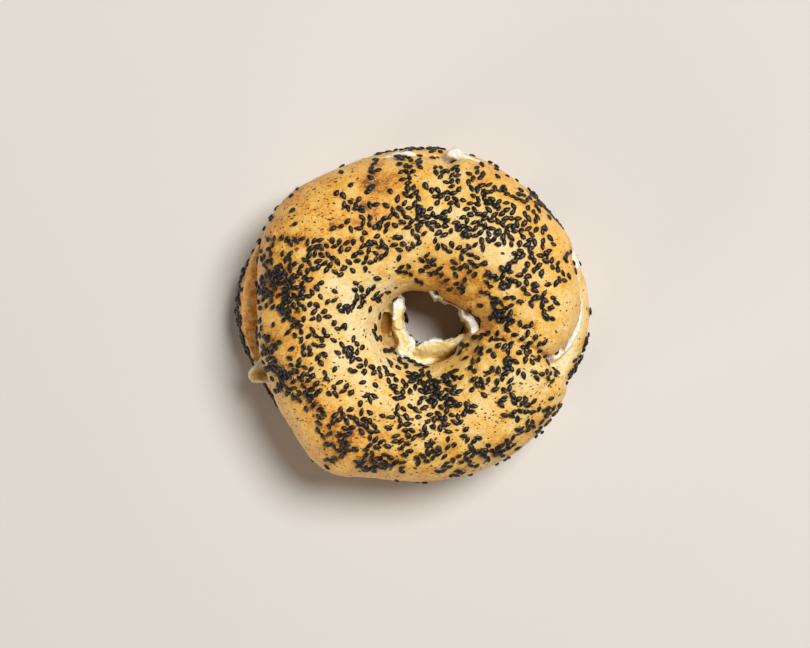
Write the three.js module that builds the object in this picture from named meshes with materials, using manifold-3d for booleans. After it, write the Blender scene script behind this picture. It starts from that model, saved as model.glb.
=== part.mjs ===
// A bagel sliced in two and filled: a seeded lower half, a layer of cream cheese and a seeded upper half.
// Millimetres, +Z up. The origin is the middle of the footprint, on the flat underside.
import * as THREE from "three";
import { mergeVertices } from "three/addons/utils/BufferGeometryUtils.js";
import Module from "manifold-3d";

const wasm = await Module();
wasm.setup();

// ---------------------------------------------------------------- driving sizes

const CUT_LEVEL = 20; // the lower half's cut face
const FILLING = 3.3; // from the lower cut face to the upper one
const GAP = 0.3; // air kept between neighbouring solids
const CUT_WAVE = 0.35; // how far the knife wandered up and down
const PRESSED = 0.4; // how far the spread stood past both cut faces before it was pressed
const TUCK = -20; // bearing of the notch where the rope's end is tucked in, in degrees
const SEED = { length: 2.75, width: 1.7, thickness: 1.0, sunk: 0.22, lean: 0.35, uneven: 0.12 };

// How finely each form is cut into facets: steps round the ring, over the crust and across the cut face.
const UPPER_STEPS = { around: 70, over: 13, across: 3 };
const LOWER_STEPS = { around: 56, over: 12, across: 3 };
const LAYER_STEPS = { around: 40, quarter: 2 };
const UPPER_STAMP_STEPS = { around: 48, over: 10, across: 2 };
const LOWER_STAMP_STEPS = { around: 36, over: 10, across: 2 };

// A closed outline is a circle with bumps. Each bump has its bearing in degrees, its reach outwards
// and its spread in degrees on the clockwise and on the anticlockwise side.
const bump = (at, reach, spread, spreadAfter = spread) => ({ at, reach, spread, spreadAfter });

const UPPER = {
  outline: {
    centre: [0, 0],
    radius: 56.1,
    bumps: [
      bump(148, 3.2, 14), // west shoulder
      bump(180, -1.2, 14), // west flat
      bump(-120, 4.1, 10, 8), // south-west shoulder
      bump(-155, -0.8, 12), // straight run above it
      bump(-45, 1.2, 20), // south-east swell
      bump(80, -2.4, 17), // north dip
      bump(24, 1.9, 12, 7), // north-east shoulder
      bump(TUCK, -6.0, 2.5, 12), // where the rope's end is tucked in
      bump(TUCK, -4.5, 2.5, 4),
    ],
  },
  hole: {
    centre: [5.1, -2.4],
    radius: 13.1,
    bumps: [
      bump(-166, 4.4, 34), // wide west side
      bump(66, -4.3, 34), // dough leaning in from the north
      bump(-4, 3.6, 9), // mouth of the seam
      bump(-32, -1.2, 12), // lip below the seam
      bump(-95, 1.0, 24), // south side
    ],
  },
  cut: CUT_LEVEL + FILLING,
  equator: 4.5, // the widest level, above the cut
  crown: 19.2, // from the widest level to the top
  squareness: 2.25, // of the rounded section: 2 is an ellipse
  curl: 34, // degrees that the crust turns under, past the widest level
  lean: 0, // how much further it turns on the east side, and less on the west side
};

const LOWER = {
  outline: {
    centre: [0, 0],
    radius: 56.8,
    bumps: [
      bump(178, 4.1, 26, 13), // west end
      bump(1, 3.3, 12, 24), // east end
      bump(64, 1.6, 14), // north-east swell
      bump(-140, -0.8, 20), // south-west flat
    ],
  },
  hole: { centre: [6.5, 0.4], radius: 11.6, bumps: [bump(75, 0.9, 40), bump(-150, 0.4, 30)] },
  cut: CUT_LEVEL,
  equator: -8.5, // the widest level, below the cut
  crown: 12.8, // from the widest level to the bottom, which the oven's floor flattens
  squareness: 2.3,
  curl: 27,
  lean: 7,
};

const CHEESE = {
  outline: {
    centre: [0, 0],
    radius: 53.6,
    bumps: [
      bump(88, 1.4, 14), // thin line along the north side
      bump(20, 3.8, 6), // under the north-east shoulder
      bump(0, 3.4, 8), // streak on the east side
      bump(-14, 1.2, 6), // the streak runs in towards the tuck
      bump(178, -1.2, 14), // bare toasted crumb on the west side
    ],
  },
  hole: {
    centre: [6.5, 0.4],
    radius: 10.9,
    bumps: [
      bump(-88, -2.8, 17), // lobe that leans into the hole
      bump(-119, 2.0, 4), // nick beside the lobe
      bump(-4, -2.4, 14), // foot of the dab in the seam's mouth
      bump(-165, -0.9, 14), // foot of the west crest
      bump(150, 0.7, 12),
    ],
  },
};

// Low swells and dents of the crust: plan position, radius and height.
const swell = (x, y, radius, height) => ({ x, y, radius, height });

const UPPER_RELIEF = [
  swell(-14, 44, 9, -1.1), // dent with the browned patch
  swell(-31, 33, 12, 0.9), // north-west dome
  swell(6, 32, 12, 0.6),
  swell(33, 25, 11, 0.9), // pale north-east ridge
  swell(28, 1, 8, -1.3), // hollow beside the hole
  swell(47, 2, 8, 0.8), // bulge above the tuck
  swell(40, -24, 9, 1.0), // bulge below the tuck
  swell(8, -27, 8, -1.0), // hollow full of seeds
  swell(-24, -6, 11, 0.9), // pale west dome
  swell(-43, 15, 7, -0.8), // hollow full of seeds
  swell(-22, -36, 13, 0.7),
  swell(22, -40, 12, 0.6),
];
const LOWER_RELIEF = [
  swell(-57, 8, 8, 0.5),
  swell(57, -8, 8, 0.5),
  swell(10, 57, 9, 0.4),
  swell(-30, -48, 10, -0.5),
];

// The rope's two ends overlap along a line from the hole to the rim: the far side rides over the near one.
const SEAM = { from: [21.5, -6.0], to: [46, -16.6], rise: 1.5, groove: 1.3, width: 1.5, reach: 8 };
const WEST_FOLD = { from: [-54, -15.5], to: [-42, -19.5], rise: -0.7, groove: 0.6, width: 1.4, reach: 6 };

// Where the seeds lie thick: bearing in degrees and distance from the middle, radius of the patch, weight.
// A weight below zero thins them out.
const patch = (bearing, distance, radius, weight) => ({ bearing, distance, radius, weight });
const EVEN_COVER = 0.85;
const UPPER_PATCHES = [
  patch(166, 50, 7, 2.6),
  patch(176, 42, 6, 1.6),
  patch(199, 51, 6, 1.8),
  patch(152, 40, 7, 0.7),
  patch(140, 29, 5, 0.5),
  patch(209, 49, 6, 1.4),
  patch(232, 50, 7, 0.6),
  patch(254, 54, 5, 1.6),
  patch(282, 27, 6, 3.2),
  patch(286, 36, 4, 1.2),
  patch(302, 54, 6, 1.8),
  patch(325, 37, 9, 0.8),
  patch(1, 30, 4, 2.2),
  patch(8, 44, 4, 0.9),
  patch(24, 37, 6, 0.8),
  patch(38, 45, 9, 1.3),
  patch(58, 32, 6, 0.8),
  patch(86, 33, 6, 1.4),
  patch(98, 52, 6, 1.2),
  patch(60, 50, 8, 0.8),
  patch(130, 49, 13, -0.95),
  patch(160, 30, 7, -0.8),
  patch(188, 24, 7, -0.6),
  patch(222, 32, 7, -0.7),
  patch(350, 53, 9, -0.95),
  patch(305, 42, 6, -0.75),
  patch(215, 58, 8, -0.7),
  patch(282, 16, 5, -0.8),
];
const LOWER_PATCHES = [
  patch(172, 60, 9, 2.2),
  patch(-146, 57, 9, 2.4),
  patch(-16, 57, 8, 2.2),
  patch(96, 56, 9, 1.8),
  patch(40, 56, 7, 1.0),
  patch(20, 58, 7, -0.7),
  patch(-115, 57, 12, -0.4),
];

// ---------------------------------------------------------------- small helpers

const DEG = Math.PI / 180;
const mix = (a, b, t) => a + (b - a) * t;
const clamp = (v, low, high) => Math.min(high, Math.max(low, v));
const bell = (d, spread) => Math.exp(-0.5 * (d / spread) ** 2);
const signedPower = (v, p) => Math.sign(v) * Math.abs(v) ** p;

// Degrees from one bearing to another, -180 to 180.
function turn(from, to) {
  return ((((to - from) % 360) + 540) % 360) - 180;
}

// A repeatable source of numbers from 0 to 1.
function randomSource(seed) {
  let state = seed;
  return () => {
    state = (state + 0x6d2b79f5) | 0;
    let t = Math.imul(state ^ (state >>> 15), 1 | state);
    t = (t + Math.imul(t ^ (t >>> 7), 61 | t)) ^ t;
    return ((t ^ (t >>> 14)) >>> 0) / 4294967296;
  };
}

function radiusAt(ring, bearing) {
  return ring.bumps.reduce((r, b) => {
    const d = turn(b.at, bearing);
    return r + b.reach * bell(d, d < 0 ? b.spread : b.spreadAfter);
  }, ring.radius);
}

// The plan point at a bearing and at a share of the way from the hole's edge (0) to the rim (1).
function planPoint(ring, bearing, share) {
  const reach = mix(radiusAt(ring.hole, bearing), radiusAt(ring.outline, bearing), share);
  return [
    mix(ring.hole.centre[0], ring.outline.centre[0], share) + reach * Math.cos(bearing * DEG),
    mix(ring.hole.centre[1], ring.outline.centre[1], share) + reach * Math.sin(bearing * DEG),
  ];
}

// The knife's path, the same for both cut faces.
function knife(x, y) {
  return CUT_WAVE * (Math.sin(x / 13 + 0.6) * Math.cos(y / 17) + 0.5 * Math.sin((x + y) / 7));
}

// A step with a groove at its foot, along a line in plan.
function crease(line, x, y) {
  const run = [line.to[0] - line.from[0], line.to[1] - line.from[1]];
  const length = Math.hypot(...run);
  const along = ((x - line.from[0]) * run[0] + (y - line.from[1]) * run[1]) / length;
  const across = ((x - line.from[0]) * run[1] - (y - line.from[1]) * run[0]) / length;
  const fade = 3;
  const beyond = Math.max(0, -along, along - length);
  const step = across > -line.width ? clamp((across + line.width) / (2 * line.width), 0, 1) : 0;
  const top = line.rise * step * bell(Math.max(0, across), line.reach);
  return (top - line.groove * bell(across + line.width / 2, line.width)) * bell(beyond, fade);
}

// The height of a list of swells at a plan point.
function heightOf(swells, x, y) {
  return swells.reduce((height, s) => height + s.height * bell(Math.hypot(x - s.x, y - s.y), s.radius), 0);
}

// How far each half's crust stands off its smooth form.
const upperRelief = (x, y) => heightOf(UPPER_RELIEF, x, y) + crease(SEAM, x, y) + crease(WEST_FOLD, x, y);
const lowerRelief = (x, y) => heightOf(LOWER_RELIEF, x, y);

// ---------------------------------------------------------------- the two halves

// How far the crust turns under at a bearing.
function curlAt(half, bearing) {
  return half.curl + half.lean * Math.cos(bearing * DEG);
}

// A point of a half's rounded crust. turned runs from the hole's cut edge (-curl) through the crown (90)
// to the rim's cut edge (180 + curl), in degrees.
function crustPoint(half, bearing, turned) {
  const power = 2 / half.squareness;
  const curl = curlAt(half, bearing);
  const share = 0.5 * (1 - signedPower(Math.cos(turned * DEG), power));
  const rise = signedPower(Math.sin(turned * DEG), power);
  const under = Math.abs(half.equator) / Math.sin(curl * DEG) ** power;
  const lift = rise * (rise > 0 ? half.crown : under) * Math.sign(half.equator);
  const [x, y] = planPoint(half, bearing, share);
  const fade = clamp(1 - Math.abs(turned - 90) / (90 + curl), 0, 1);
  return new THREE.Vector3(x, y, half.cut + half.equator + lift + knife(x, y) * (1 - fade ** 0.5));
}

// The crust's outward direction, from its two tangents.
function crustNormal(half, bearing, turned) {
  const step = 0.5;
  const around = crustPoint(half, bearing + step, turned).sub(crustPoint(half, bearing - step, turned));
  const over = crustPoint(half, bearing, turned + step).sub(crustPoint(half, bearing, turned - step));
  return around.cross(over).multiplyScalar(-Math.sign(half.equator)).normalize();
}

// The crust with its relief. The relief fades out at the cut edges, and the base is pressed flat.
function reliefPoint(half, relief, bearing, turned) {
  const p = crustPoint(half, bearing, turned);
  const edge = clamp((90 + curlAt(half, bearing) - Math.abs(turned - 90)) / 30, 0, 1);
  p.addScaledVector(crustNormal(half, bearing, turned), relief(p.x, p.y) * edge);
  p.z = Math.max(0, p.z);
  return p;
}

// A closed ring of quads, each cut into two triangles, from its loops of points.
function ringGeometry(loops, facing) {
  const around = loops.length;
  const over = loops[0].length;
  const positions = loops.flatMap((loop) => loop.flatMap((p) => [p.x, p.y, p.z]));
  const index = [];
  for (let i = 0; i < around; i++) {
    for (let j = 0; j < over; j++) {
      const a = i * over + j;
      const b = ((i + 1) % around) * over + j;
      const c = ((i + 1) % around) * over + ((j + 1) % over);
      const d = i * over + ((j + 1) % over);
      index.push(...(facing > 0 ? [a, c, b, a, d, c] : [a, b, c, a, c, d]));
    }
  }
  const geometry = new THREE.BufferGeometry();
  geometry.setAttribute("position", new THREE.Float32BufferAttribute(positions, 3));
  geometry.setIndex(index);
  return geometry;
}

// Bearings round the ring, closer together beside the tucked end.
function bearings(count) {
  const crowding = 22;
  return Array.from({ length: count }, (_, i) => {
    const even = (i / count) * 360;
    return TUCK + even - crowding * Math.sin(even * DEG);
  });
}

// The crust as loops of points, each from the hole's cut edge over the crown to the rim's cut edge.
function crustLoops(half, relief, steps) {
  return bearings(steps.around).map((bearing) => {
    const curl = curlAt(half, bearing);
    const stride = (180 + 2 * curl) / steps.over;
    const turns = Array.from({ length: steps.over + 1 }, (_, j) => stride * j - curl);
    return turns.map((turned) => reliefPoint(half, relief, bearing, turned));
  });
}

// The crust closed by its cut face, which follows the knife from the rim back to the hole.
function halfGeometry(half, crust, steps) {
  const loops = crust.map((loop) => {
    const rim = loop[loop.length - 1];
    const edge = loop[0];
    const face = Array.from({ length: steps.across - 1 }, (_, j) => {
      const p = rim.clone().lerp(edge, (j + 1) / steps.across);
      p.z = half.cut + knife(p.x, p.y);
      return p;
    });
    return [...loop, ...face];
  });
  return ringGeometry(loops, half.equator);
}

// ---------------------------------------------------------------- the cheese

// Mounds of the cheese layer where it shows past the bread: plan position, radius and height.
const CHEESE_MOUNDS = [
  swell(1, -12.6, 4.4, 1.2), // the lobe's back
  swell(11, -11, 5, 1.1),
  swell(50.5, -10.5, 4, 1.0), // fold beside the tuck
  swell(-30, 45, 6, 1.2), // squeezed up at the rim
  swell(20, -50, 7, 1.0),
  swell(45, 30, 6, 0.9),
];

// Lumps squeezed out past the bread: the middle, the bearing of the long axis, and the size along it,
// across it and upright.
const lump = (x, y, z, bearing, length, width, height) => ({ x, y, z, bearing, length, width, height });
const CHEESE_LUMPS = [
  lump(13.2, 54.0, 23.6, -14, 8.6, 6.2, 4.6), // on the north side
  lump(55.4, 1.4, 22.0, 93, 14, 4.6, 4.2), // east streak
  lump(52.6, 18.4, 22.2, 110, 8, 5.4, 4.6), // under the north-east shoulder
  lump(-52.4, -19.9, 21.9, 21, 11, 6.4, 4.4), // tongue on the west side
  lump(-33, -41, 21.9, -50, 14, 5.4, 4.2), // under the south-west shoulder
  lump(17.6, -2.8, 24.4, -22, 7.0, 5.0, 6.2), // dab in the mouth of the seam
  lump(-5.0, 2.6, 23.6, 86, 8.6, 3.4, 5.2), // crest on the west side of the hole
  lump(4.5, -12.4, 23.4, 0, 15, 5.6, 4.2), // lobe on the south side of the hole
  lump(6.6, 7.2, 23.4, -18, 7, 3.6, 4.2), // under the north edge of the hole
];

// The spread before the halves are pressed on it, standing a little past both cut faces, with a round edge.
function layerGeometry(steps) {
  const round = FILLING / 2 + PRESSED;
  const loops = bearings(steps.around).map((bearing) => {
    const width = radiusAt(CHEESE.outline, bearing) - radiusAt(CHEESE.hole, bearing);
    return Array.from({ length: 4 * steps.quarter }, (_, j) => {
      const turned = 270 - ((j + 1) * 90) / steps.quarter;
      const inwards = (round * (1 - Math.abs(Math.cos(turned * DEG)))) / width;
      const [x, y] = planPoint(CHEESE, bearing, turned < 90 ? 1 - inwards : inwards);
      const mound = turned > 0 && turned < 180 ? heightOf(CHEESE_MOUNDS, x, y) : 0;
      const middle = CUT_LEVEL + FILLING / 2 + knife(x, y);
      return new THREE.Vector3(x, y, middle + round * Math.sin(turned * DEG) + mound);
    });
  });
  return ringGeometry(loops, 1);
}

function lumpGeometry({ x, y, z, bearing, length, width, height }) {
  const ball = new THREE.SphereGeometry(0.5, 8, 6); // sides round it and steps from pole to pole
  ball.rotateX(Math.PI / 2);
  return ball.scale(length, width, height).rotateZ(bearing * DEG).translate(x, y, z);
}

// A half grown by the gap on every side, for cutting its neighbour to fit.
function grown(half) {
  const grow = (ring, by) => ({ ...ring, radius: ring.radius + by });
  const up = Math.sign(half.equator);
  return {
    ...half,
    cut: half.cut - up * GAP,
    equator: half.equator + up * GAP,
    outline: grow(half.outline, GAP),
    hole: grow(half.hole, -GAP),
  };
}

// The shape that a half presses out of the spread.
function stampOf(half, relief, steps) {
  const stamp = grown(half);
  return halfGeometry(stamp, crustLoops(stamp, relief, steps), steps);
}

// ---------------------------------------------------------------- the seeds

// A sesame seed: a flat drop with a blunt end and a pointed one, lying along X.
function seedGeometry() {
  const sides = 4;
  const profile = [[0, -0.5], [0.5, -0.18], [0.36, 0.24], [0, 0.5]];
  const drop = new THREE.LatheGeometry(profile.map(([r, h]) => new THREE.Vector2(r, h)), sides);
  drop.rotateZ(-Math.PI / 2);
  return drop.scale(SEED.length, SEED.width, SEED.thickness);
}

function coverAt(patches, x, y) {
  return patches.reduce((cover, p) => {
    const dx = x - p.distance * Math.cos(p.bearing * DEG);
    const dy = y - p.distance * Math.sin(p.bearing * DEG);
    return cover + p.weight * bell(Math.hypot(dx, dy), p.radius);
  }, EVEN_COVER);
}

// A random spot on one facet of the crust: its place, outward direction and area.
function spotOn(crust, facing, random) {
  const i = Math.floor(random() * crust.length);
  const j = Math.floor(random() * (crust[0].length - 1));
  const next = (i + 1) % crust.length;
  const [a, b, c, d] = [crust[i][j], crust[next][j], crust[next][j + 1], crust[i][j + 1]];
  const [u, v] = [random(), random()];
  const at = a.clone().lerp(b, u).lerp(d.clone().lerp(c, u), v);
  const normal = d.clone().sub(b).cross(c.clone().sub(a)).multiplyScalar(facing);
  return { at, area: normal.length() / 2, normal: normal.normalize() };
}

// Matrices that lay seeds on a crust, thick where the patches say, and none nearer than spacing.
function scatterSeeds({ crust, facing, patches, count, spacing, lowest, highest, random }) {
  const placed = [];
  const densest = 4;
  const largestFacet = 24;
  const mostAttempts = 200000;
  for (let attempt = 0; placed.length < count && attempt < mostAttempts; attempt++) {
    const { at, area, normal } = spotOn(crust, facing, random);
    const likely = (coverAt(patches, at.x, at.y) / densest) * (area / largestFacet);
    if (random() > likely || at.z < lowest || at.z > highest) continue;
    if (placed.some((seed) => seed.at.distanceTo(at) < spacing)) continue;
    const lean = new THREE.Vector3(random() - 0.5, random() - 0.5, random() - 0.5).multiplyScalar(SEED.lean);
    const up = normal.clone().add(lean).normalize();
    const bearing = random() * 2 * Math.PI;
    const along = new THREE.Vector3(Math.cos(bearing), Math.sin(bearing), 0).cross(up).normalize();
    const size = mix(1 - SEED.uneven, 1 + SEED.uneven, random());
    const matrix = new THREE.Matrix4().makeBasis(along, up.clone().cross(along), up);
    matrix.scale(new THREE.Vector3(size, size, size));
    matrix.setPosition(at.clone().addScaledVector(normal, SEED.thickness * (0.5 - SEED.sunk)));
    placed.push({ at, matrix });
  }
  return placed.map((seed) => seed.matrix);
}

// ---------------------------------------------------------------- joining

function solidOf(geometry) {
  const bare = geometry.clone();
  bare.deleteAttribute("normal");
  bare.deleteAttribute("uv");
  const merged = mergeVertices(bare, 1e-4);
  return new wasm.Manifold(
    new wasm.Mesh({
      numProp: 3,
      vertProperties: merged.attributes.position.array,
      triVerts: new Uint32Array(merged.index.array),
    }),
  );
}

function geometryOf(solid) {
  const mesh = solid.getMesh();
  const geometry = new THREE.BufferGeometry();
  geometry.setAttribute("position", new THREE.Float32BufferAttribute(mesh.vertProperties, 3));
  geometry.setIndex(Array.from(mesh.triVerts));
  geometry.computeVertexNormals();
  return geometry;
}

// The bread with its seeds fused on, as one solid.
function seeded(bread, matrices) {
  const seed = seedGeometry();
  let whole = solidOf(bread);
  for (const matrix of matrices) {
    whole = whole.add(solidOf(seed.clone().applyMatrix4(matrix)));
  }
  return geometryOf(whole);
}

// The cheese with the shapes of both halves pressed out of it. Loose scraps are dropped.
function pressed(layer, lumps, stamps) {
  const raw = lumps.reduce((whole, ball) => whole.add(solidOf(ball)), solidOf(layer));
  const pieces = stamps.reduce((rest, stamp) => rest.subtract(solidOf(stamp)), raw).decompose();
  return geometryOf(pieces.reduce((most, piece) => (piece.volume() > most.volume() ? piece : most)));
}

function named(name, geometry, color, roughness) {
  const material = new THREE.MeshStandardMaterial({ color, roughness, metalness: 0 });
  const mesh = new THREE.Mesh(geometry, material);
  mesh.name = name;
  return mesh;
}

// ---------------------------------------------------------------- the bagel

const random = randomSource(2309);

const upperCrust = crustLoops(UPPER, upperRelief, UPPER_STEPS);
const upperSeeds = scatterSeeds({
  crust: upperCrust,
  facing: 1,
  patches: UPPER_PATCHES,
  count: 154,
  spacing: 2.6,
  lowest: UPPER.cut + 4.5,
  highest: Infinity,
  random,
});

const lowerCrust = crustLoops(LOWER, lowerRelief, LOWER_STEPS);
const lowerSeeds = scatterSeeds({
  crust: lowerCrust,
  facing: -1,
  patches: LOWER_PATCHES,
  count: 42,
  spacing: 2.8,
  lowest: 3,
  highest: LOWER.cut - 2.5,
  random,
});

const stamps = [
  stampOf(UPPER, upperRelief, UPPER_STAMP_STEPS),
  stampOf(LOWER, lowerRelief, LOWER_STAMP_STEPS),
];
const cheese = pressed(layerGeometry(LAYER_STEPS), CHEESE_LUMPS.map(lumpGeometry), stamps);

const bagel = new THREE.Group();
bagel.add(
  named("top_half", seeded(halfGeometry(UPPER, upperCrust, UPPER_STEPS), upperSeeds), 0xe2a75a, 0.55),
  named("cream_cheese", cheese, 0xf6eedb, 0.4),
  named("bottom_half", seeded(halfGeometry(LOWER, lowerCrust, LOWER_STEPS), lowerSeeds), 0xdba055, 0.6),
);

export default bagel;
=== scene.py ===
"""A sliced and filled bagel: two seeded halves of bread with cream cheese between them.

Forms are worked out in millimetres, +Z up, with the origin in the middle of the footprint, and become metres
when a mesh is made. Bearings are in degrees, anticlockwise from +X. The halves keep the outlines and the
section of the frame's solids, and add the fine relief, the colours and the seeds.
"""

import logging
from dataclasses import dataclass
from enum import Enum, IntEnum

import bpy
import numpy as np
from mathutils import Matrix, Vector, noise


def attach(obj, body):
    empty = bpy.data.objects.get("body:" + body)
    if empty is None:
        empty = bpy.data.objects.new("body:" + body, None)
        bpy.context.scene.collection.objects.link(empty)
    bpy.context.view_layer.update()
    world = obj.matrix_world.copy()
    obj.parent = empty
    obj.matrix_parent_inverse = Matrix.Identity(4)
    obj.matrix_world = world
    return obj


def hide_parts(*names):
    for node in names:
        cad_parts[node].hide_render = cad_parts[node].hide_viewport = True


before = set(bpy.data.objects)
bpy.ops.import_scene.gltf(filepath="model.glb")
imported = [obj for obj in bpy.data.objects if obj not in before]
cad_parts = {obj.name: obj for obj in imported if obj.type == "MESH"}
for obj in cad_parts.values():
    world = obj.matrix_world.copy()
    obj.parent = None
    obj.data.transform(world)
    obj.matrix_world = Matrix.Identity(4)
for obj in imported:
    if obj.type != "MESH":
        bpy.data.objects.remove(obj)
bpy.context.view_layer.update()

log = logging.getLogger("bagel")

MM = 0.001

Point = tuple[float, float]
Span = tuple[float, float]
Colour = tuple[float, float, float, float]
Array = np.ndarray
Socket = bpy.types.NodeSocket


# ---------------------------------------------------------------- small helpers


def bell(distance: Array, spread: float | Array) -> Array:
    """A smooth bump, 1 at distance 0 and 0.61 at the spread."""
    return np.exp(-0.5 * (distance / spread) ** 2)


def smooth(value: Array, low: float, high: float) -> Array:
    """A soft step from 0 at low to 1 at high."""
    share = np.clip((value - low) / (high - low), 0, 1)
    return share * share * (3 - 2 * share)


def signed_power(value: Array, power: float) -> Array:
    """A power that keeps the sign of its base."""
    return np.sign(value) * np.abs(value) ** power


def turn(start: float, bearings: Array) -> Array:
    """Degrees from one bearing to others, from -180 to 180."""
    return (bearings - start + 180) % 360 - 180


def paint(red: float, green: float, blue: float) -> Colour:
    """A screen colour as a shader reads it, by the usual curve for screens.

    Args:
        red: The red channel, 0 to 255.
        green: The green channel, 0 to 255.
        blue: The blue channel, 0 to 255.

    Returns:
        The linear colour, with full opacity.
    """
    shares = [channel / 255 for channel in (red, green, blue)]
    linear = [s / 12.92 if s <= 0.04045 else ((s + 0.055) / 1.055) ** 2.4 for s in shares]
    return (*linear, 1.0)


def ripple(points: Array, size: float, octaves: int = 2, shift: float = 0.0) -> Array:
    """Repeatable natural unevenness at points in space.

    Args:
        points: Places in millimetres, with x, y and z on the last axis.
        size: The width of one wave, in millimetres.
        octaves: How many finer layers are added.
        shift: Moves the pattern, so that two of them differ.

    Returns:
        Values from about -1 to 1, in the shape of the points.
    """
    flat = points.reshape(-1, 3) / size + shift
    values = [noise.fractal(Vector(place), 1.0, 2.0, octaves) for place in flat.tolist()]
    return np.array(values).reshape(points.shape[:-1])


def to_line(x: Array, y: Array, start: Point, end: Point) -> tuple[Array, Array]:
    """Where plan points lie along a line.

    Args:
        x: Plan positions.
        y: Plan positions.
        start: The line's first end.
        end: The line's other end.

    Returns:
        The share of the way along it, 0 to 1, and the distance from it.
    """
    run_x, run_y = end[0] - start[0], end[1] - start[1]
    squared = max(run_x**2 + run_y**2, 1e-9)
    share = np.clip(((x - start[0]) * run_x + (y - start[1]) * run_y) / squared, 0, 1)
    return share, np.hypot(x - start[0] - share * run_x, y - start[1] - share * run_y)


def bearings_of(points: Array) -> Array:
    """The bearing of each point in space."""
    return np.degrees(np.arctan2(points[..., 1], points[..., 0]))


def level_points(x: Array, y: Array) -> Array:
    """Points in space at height 0, from points in plan."""
    return np.stack([x, y, np.zeros_like(x)], -1)


@dataclass(frozen=True)
class Grain:
    """Natural unevenness: the width of a wave, how far it reaches, its octaves and a shift of the pattern."""

    size: float
    reach: float
    octaves: int
    shift: float = 0.0

    def at(self, points: Array) -> Array:
        """How far it goes at points in space."""
        return self.reach * ripple(points, self.size, self.octaves, self.shift)


@dataclass(frozen=True)
class Wander:
    """Soft waves that push plan points about: their width, their reach, and a shift for x and for y."""

    size: float
    reach: float
    shifts: tuple[float, float]

    def push(self, points: Array, x: Array, y: Array) -> tuple[Array, Array]:
        """Pushes plan points about, by waves that are read at the points in space they belong to."""
        push_x, push_y = (Grain(self.size, self.reach, 2, shift).at(points) for shift in self.shifts)
        return x + push_x, y + push_y


# ---------------------------------------------------------------- outlines and marks


@dataclass(frozen=True)
class Bump:
    """A swelling of an outline: its bearing, its reach outwards and its spread on either side."""

    at: float
    reach: float
    spread: float
    spread_after: float | None = None


def bumps(*rows: tuple[float, ...]) -> tuple[Bump, ...]:
    """Bumps from rows of numbers, in the order of their fields."""
    return tuple(Bump(*row) for row in rows)


@dataclass(frozen=True)
class Outline:
    """A closed outline in plan: a circle with bumps."""

    centre: Point
    radius: float
    bumps: tuple[Bump, ...] = ()

    def radius_at(self, bearings: Array) -> Array:
        """The distance from the centre to the outline.

        Args:
            bearings: Bearings round the centre.

        Returns:
            The distance at each bearing.
        """
        reach = np.full(np.shape(bearings), self.radius, float)
        for each in self.bumps:
            away = turn(each.at, bearings)
            after = each.spread if each.spread_after is None else each.spread_after
            reach = reach + each.reach * bell(away, np.where(away < 0, each.spread, after))
        return reach


@dataclass(frozen=True)
class Ring:
    """The plan of a ring: its hole and its rim."""

    hole: Outline
    rim: Outline

    def width_at(self, bearings: Array) -> Array:
        """The distance from the hole's edge to the rim at each bearing."""
        return self.rim.radius_at(bearings) - self.hole.radius_at(bearings)

    def plan(self, bearings: Array, share: Array) -> tuple[Array, Array]:
        """Plan points between the hole's edge and the rim.

        Args:
            bearings: Bearings round the ring.
            share: The way from the hole's edge, 0, to the rim, 1.

        Returns:
            The x and y of the points.
        """
        inner, outer = self.hole.radius_at(bearings), self.rim.radius_at(bearings)
        reach = inner + (outer - inner) * share
        turned = np.radians(bearings)
        x = self.hole.centre[0] + (self.rim.centre[0] - self.hole.centre[0]) * share + reach * np.cos(turned)
        y = self.hole.centre[1] + (self.rim.centre[1] - self.hole.centre[1]) * share + reach * np.sin(turned)
        return x, y


@dataclass(frozen=True)
class Spot:
    """A round patch in plan with soft edges: its place, its radius and how much it adds."""

    x: float
    y: float
    radius: float
    amount: float

    def at(self, x: Array, y: Array) -> Array:
        """What the patch adds at plan points."""
        return self.amount * bell(np.hypot(x - self.x, y - self.y), self.radius)


def spots(*rows: tuple[float, ...]) -> tuple[Spot, ...]:
    """Patches from rows of numbers, in the order of their fields."""
    return tuple(Spot(*row) for row in rows)


@dataclass(frozen=True)
class Stroke:
    """A line in plan: its two ends, half its width, how much it adds, and its edge if it is a level band."""

    start: Point
    end: Point
    width: float
    amount: float = 1.0
    edge: float | None = None

    def at(self, x: Array, y: Array) -> Array:
        """What the line adds at plan points.

        Args:
            x: Plan positions.
            y: Plan positions.

        Returns:
            The whole amount on the line, falling to nothing beside it.
        """
        distance = to_line(x, y, self.start, self.end)[1]
        if self.edge is None:
            return self.amount * bell(distance, self.width)
        return self.amount * (1 - smooth(distance, self.width - self.edge, self.width + self.edge))


def strokes(*rows: tuple[float, ...]) -> tuple[Stroke, ...]:
    """Lines from rows of numbers: the x and y of both ends, then the other fields in their order."""
    return tuple(Stroke(row[:2], row[2:4], *row[4:]) for row in rows)


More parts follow.
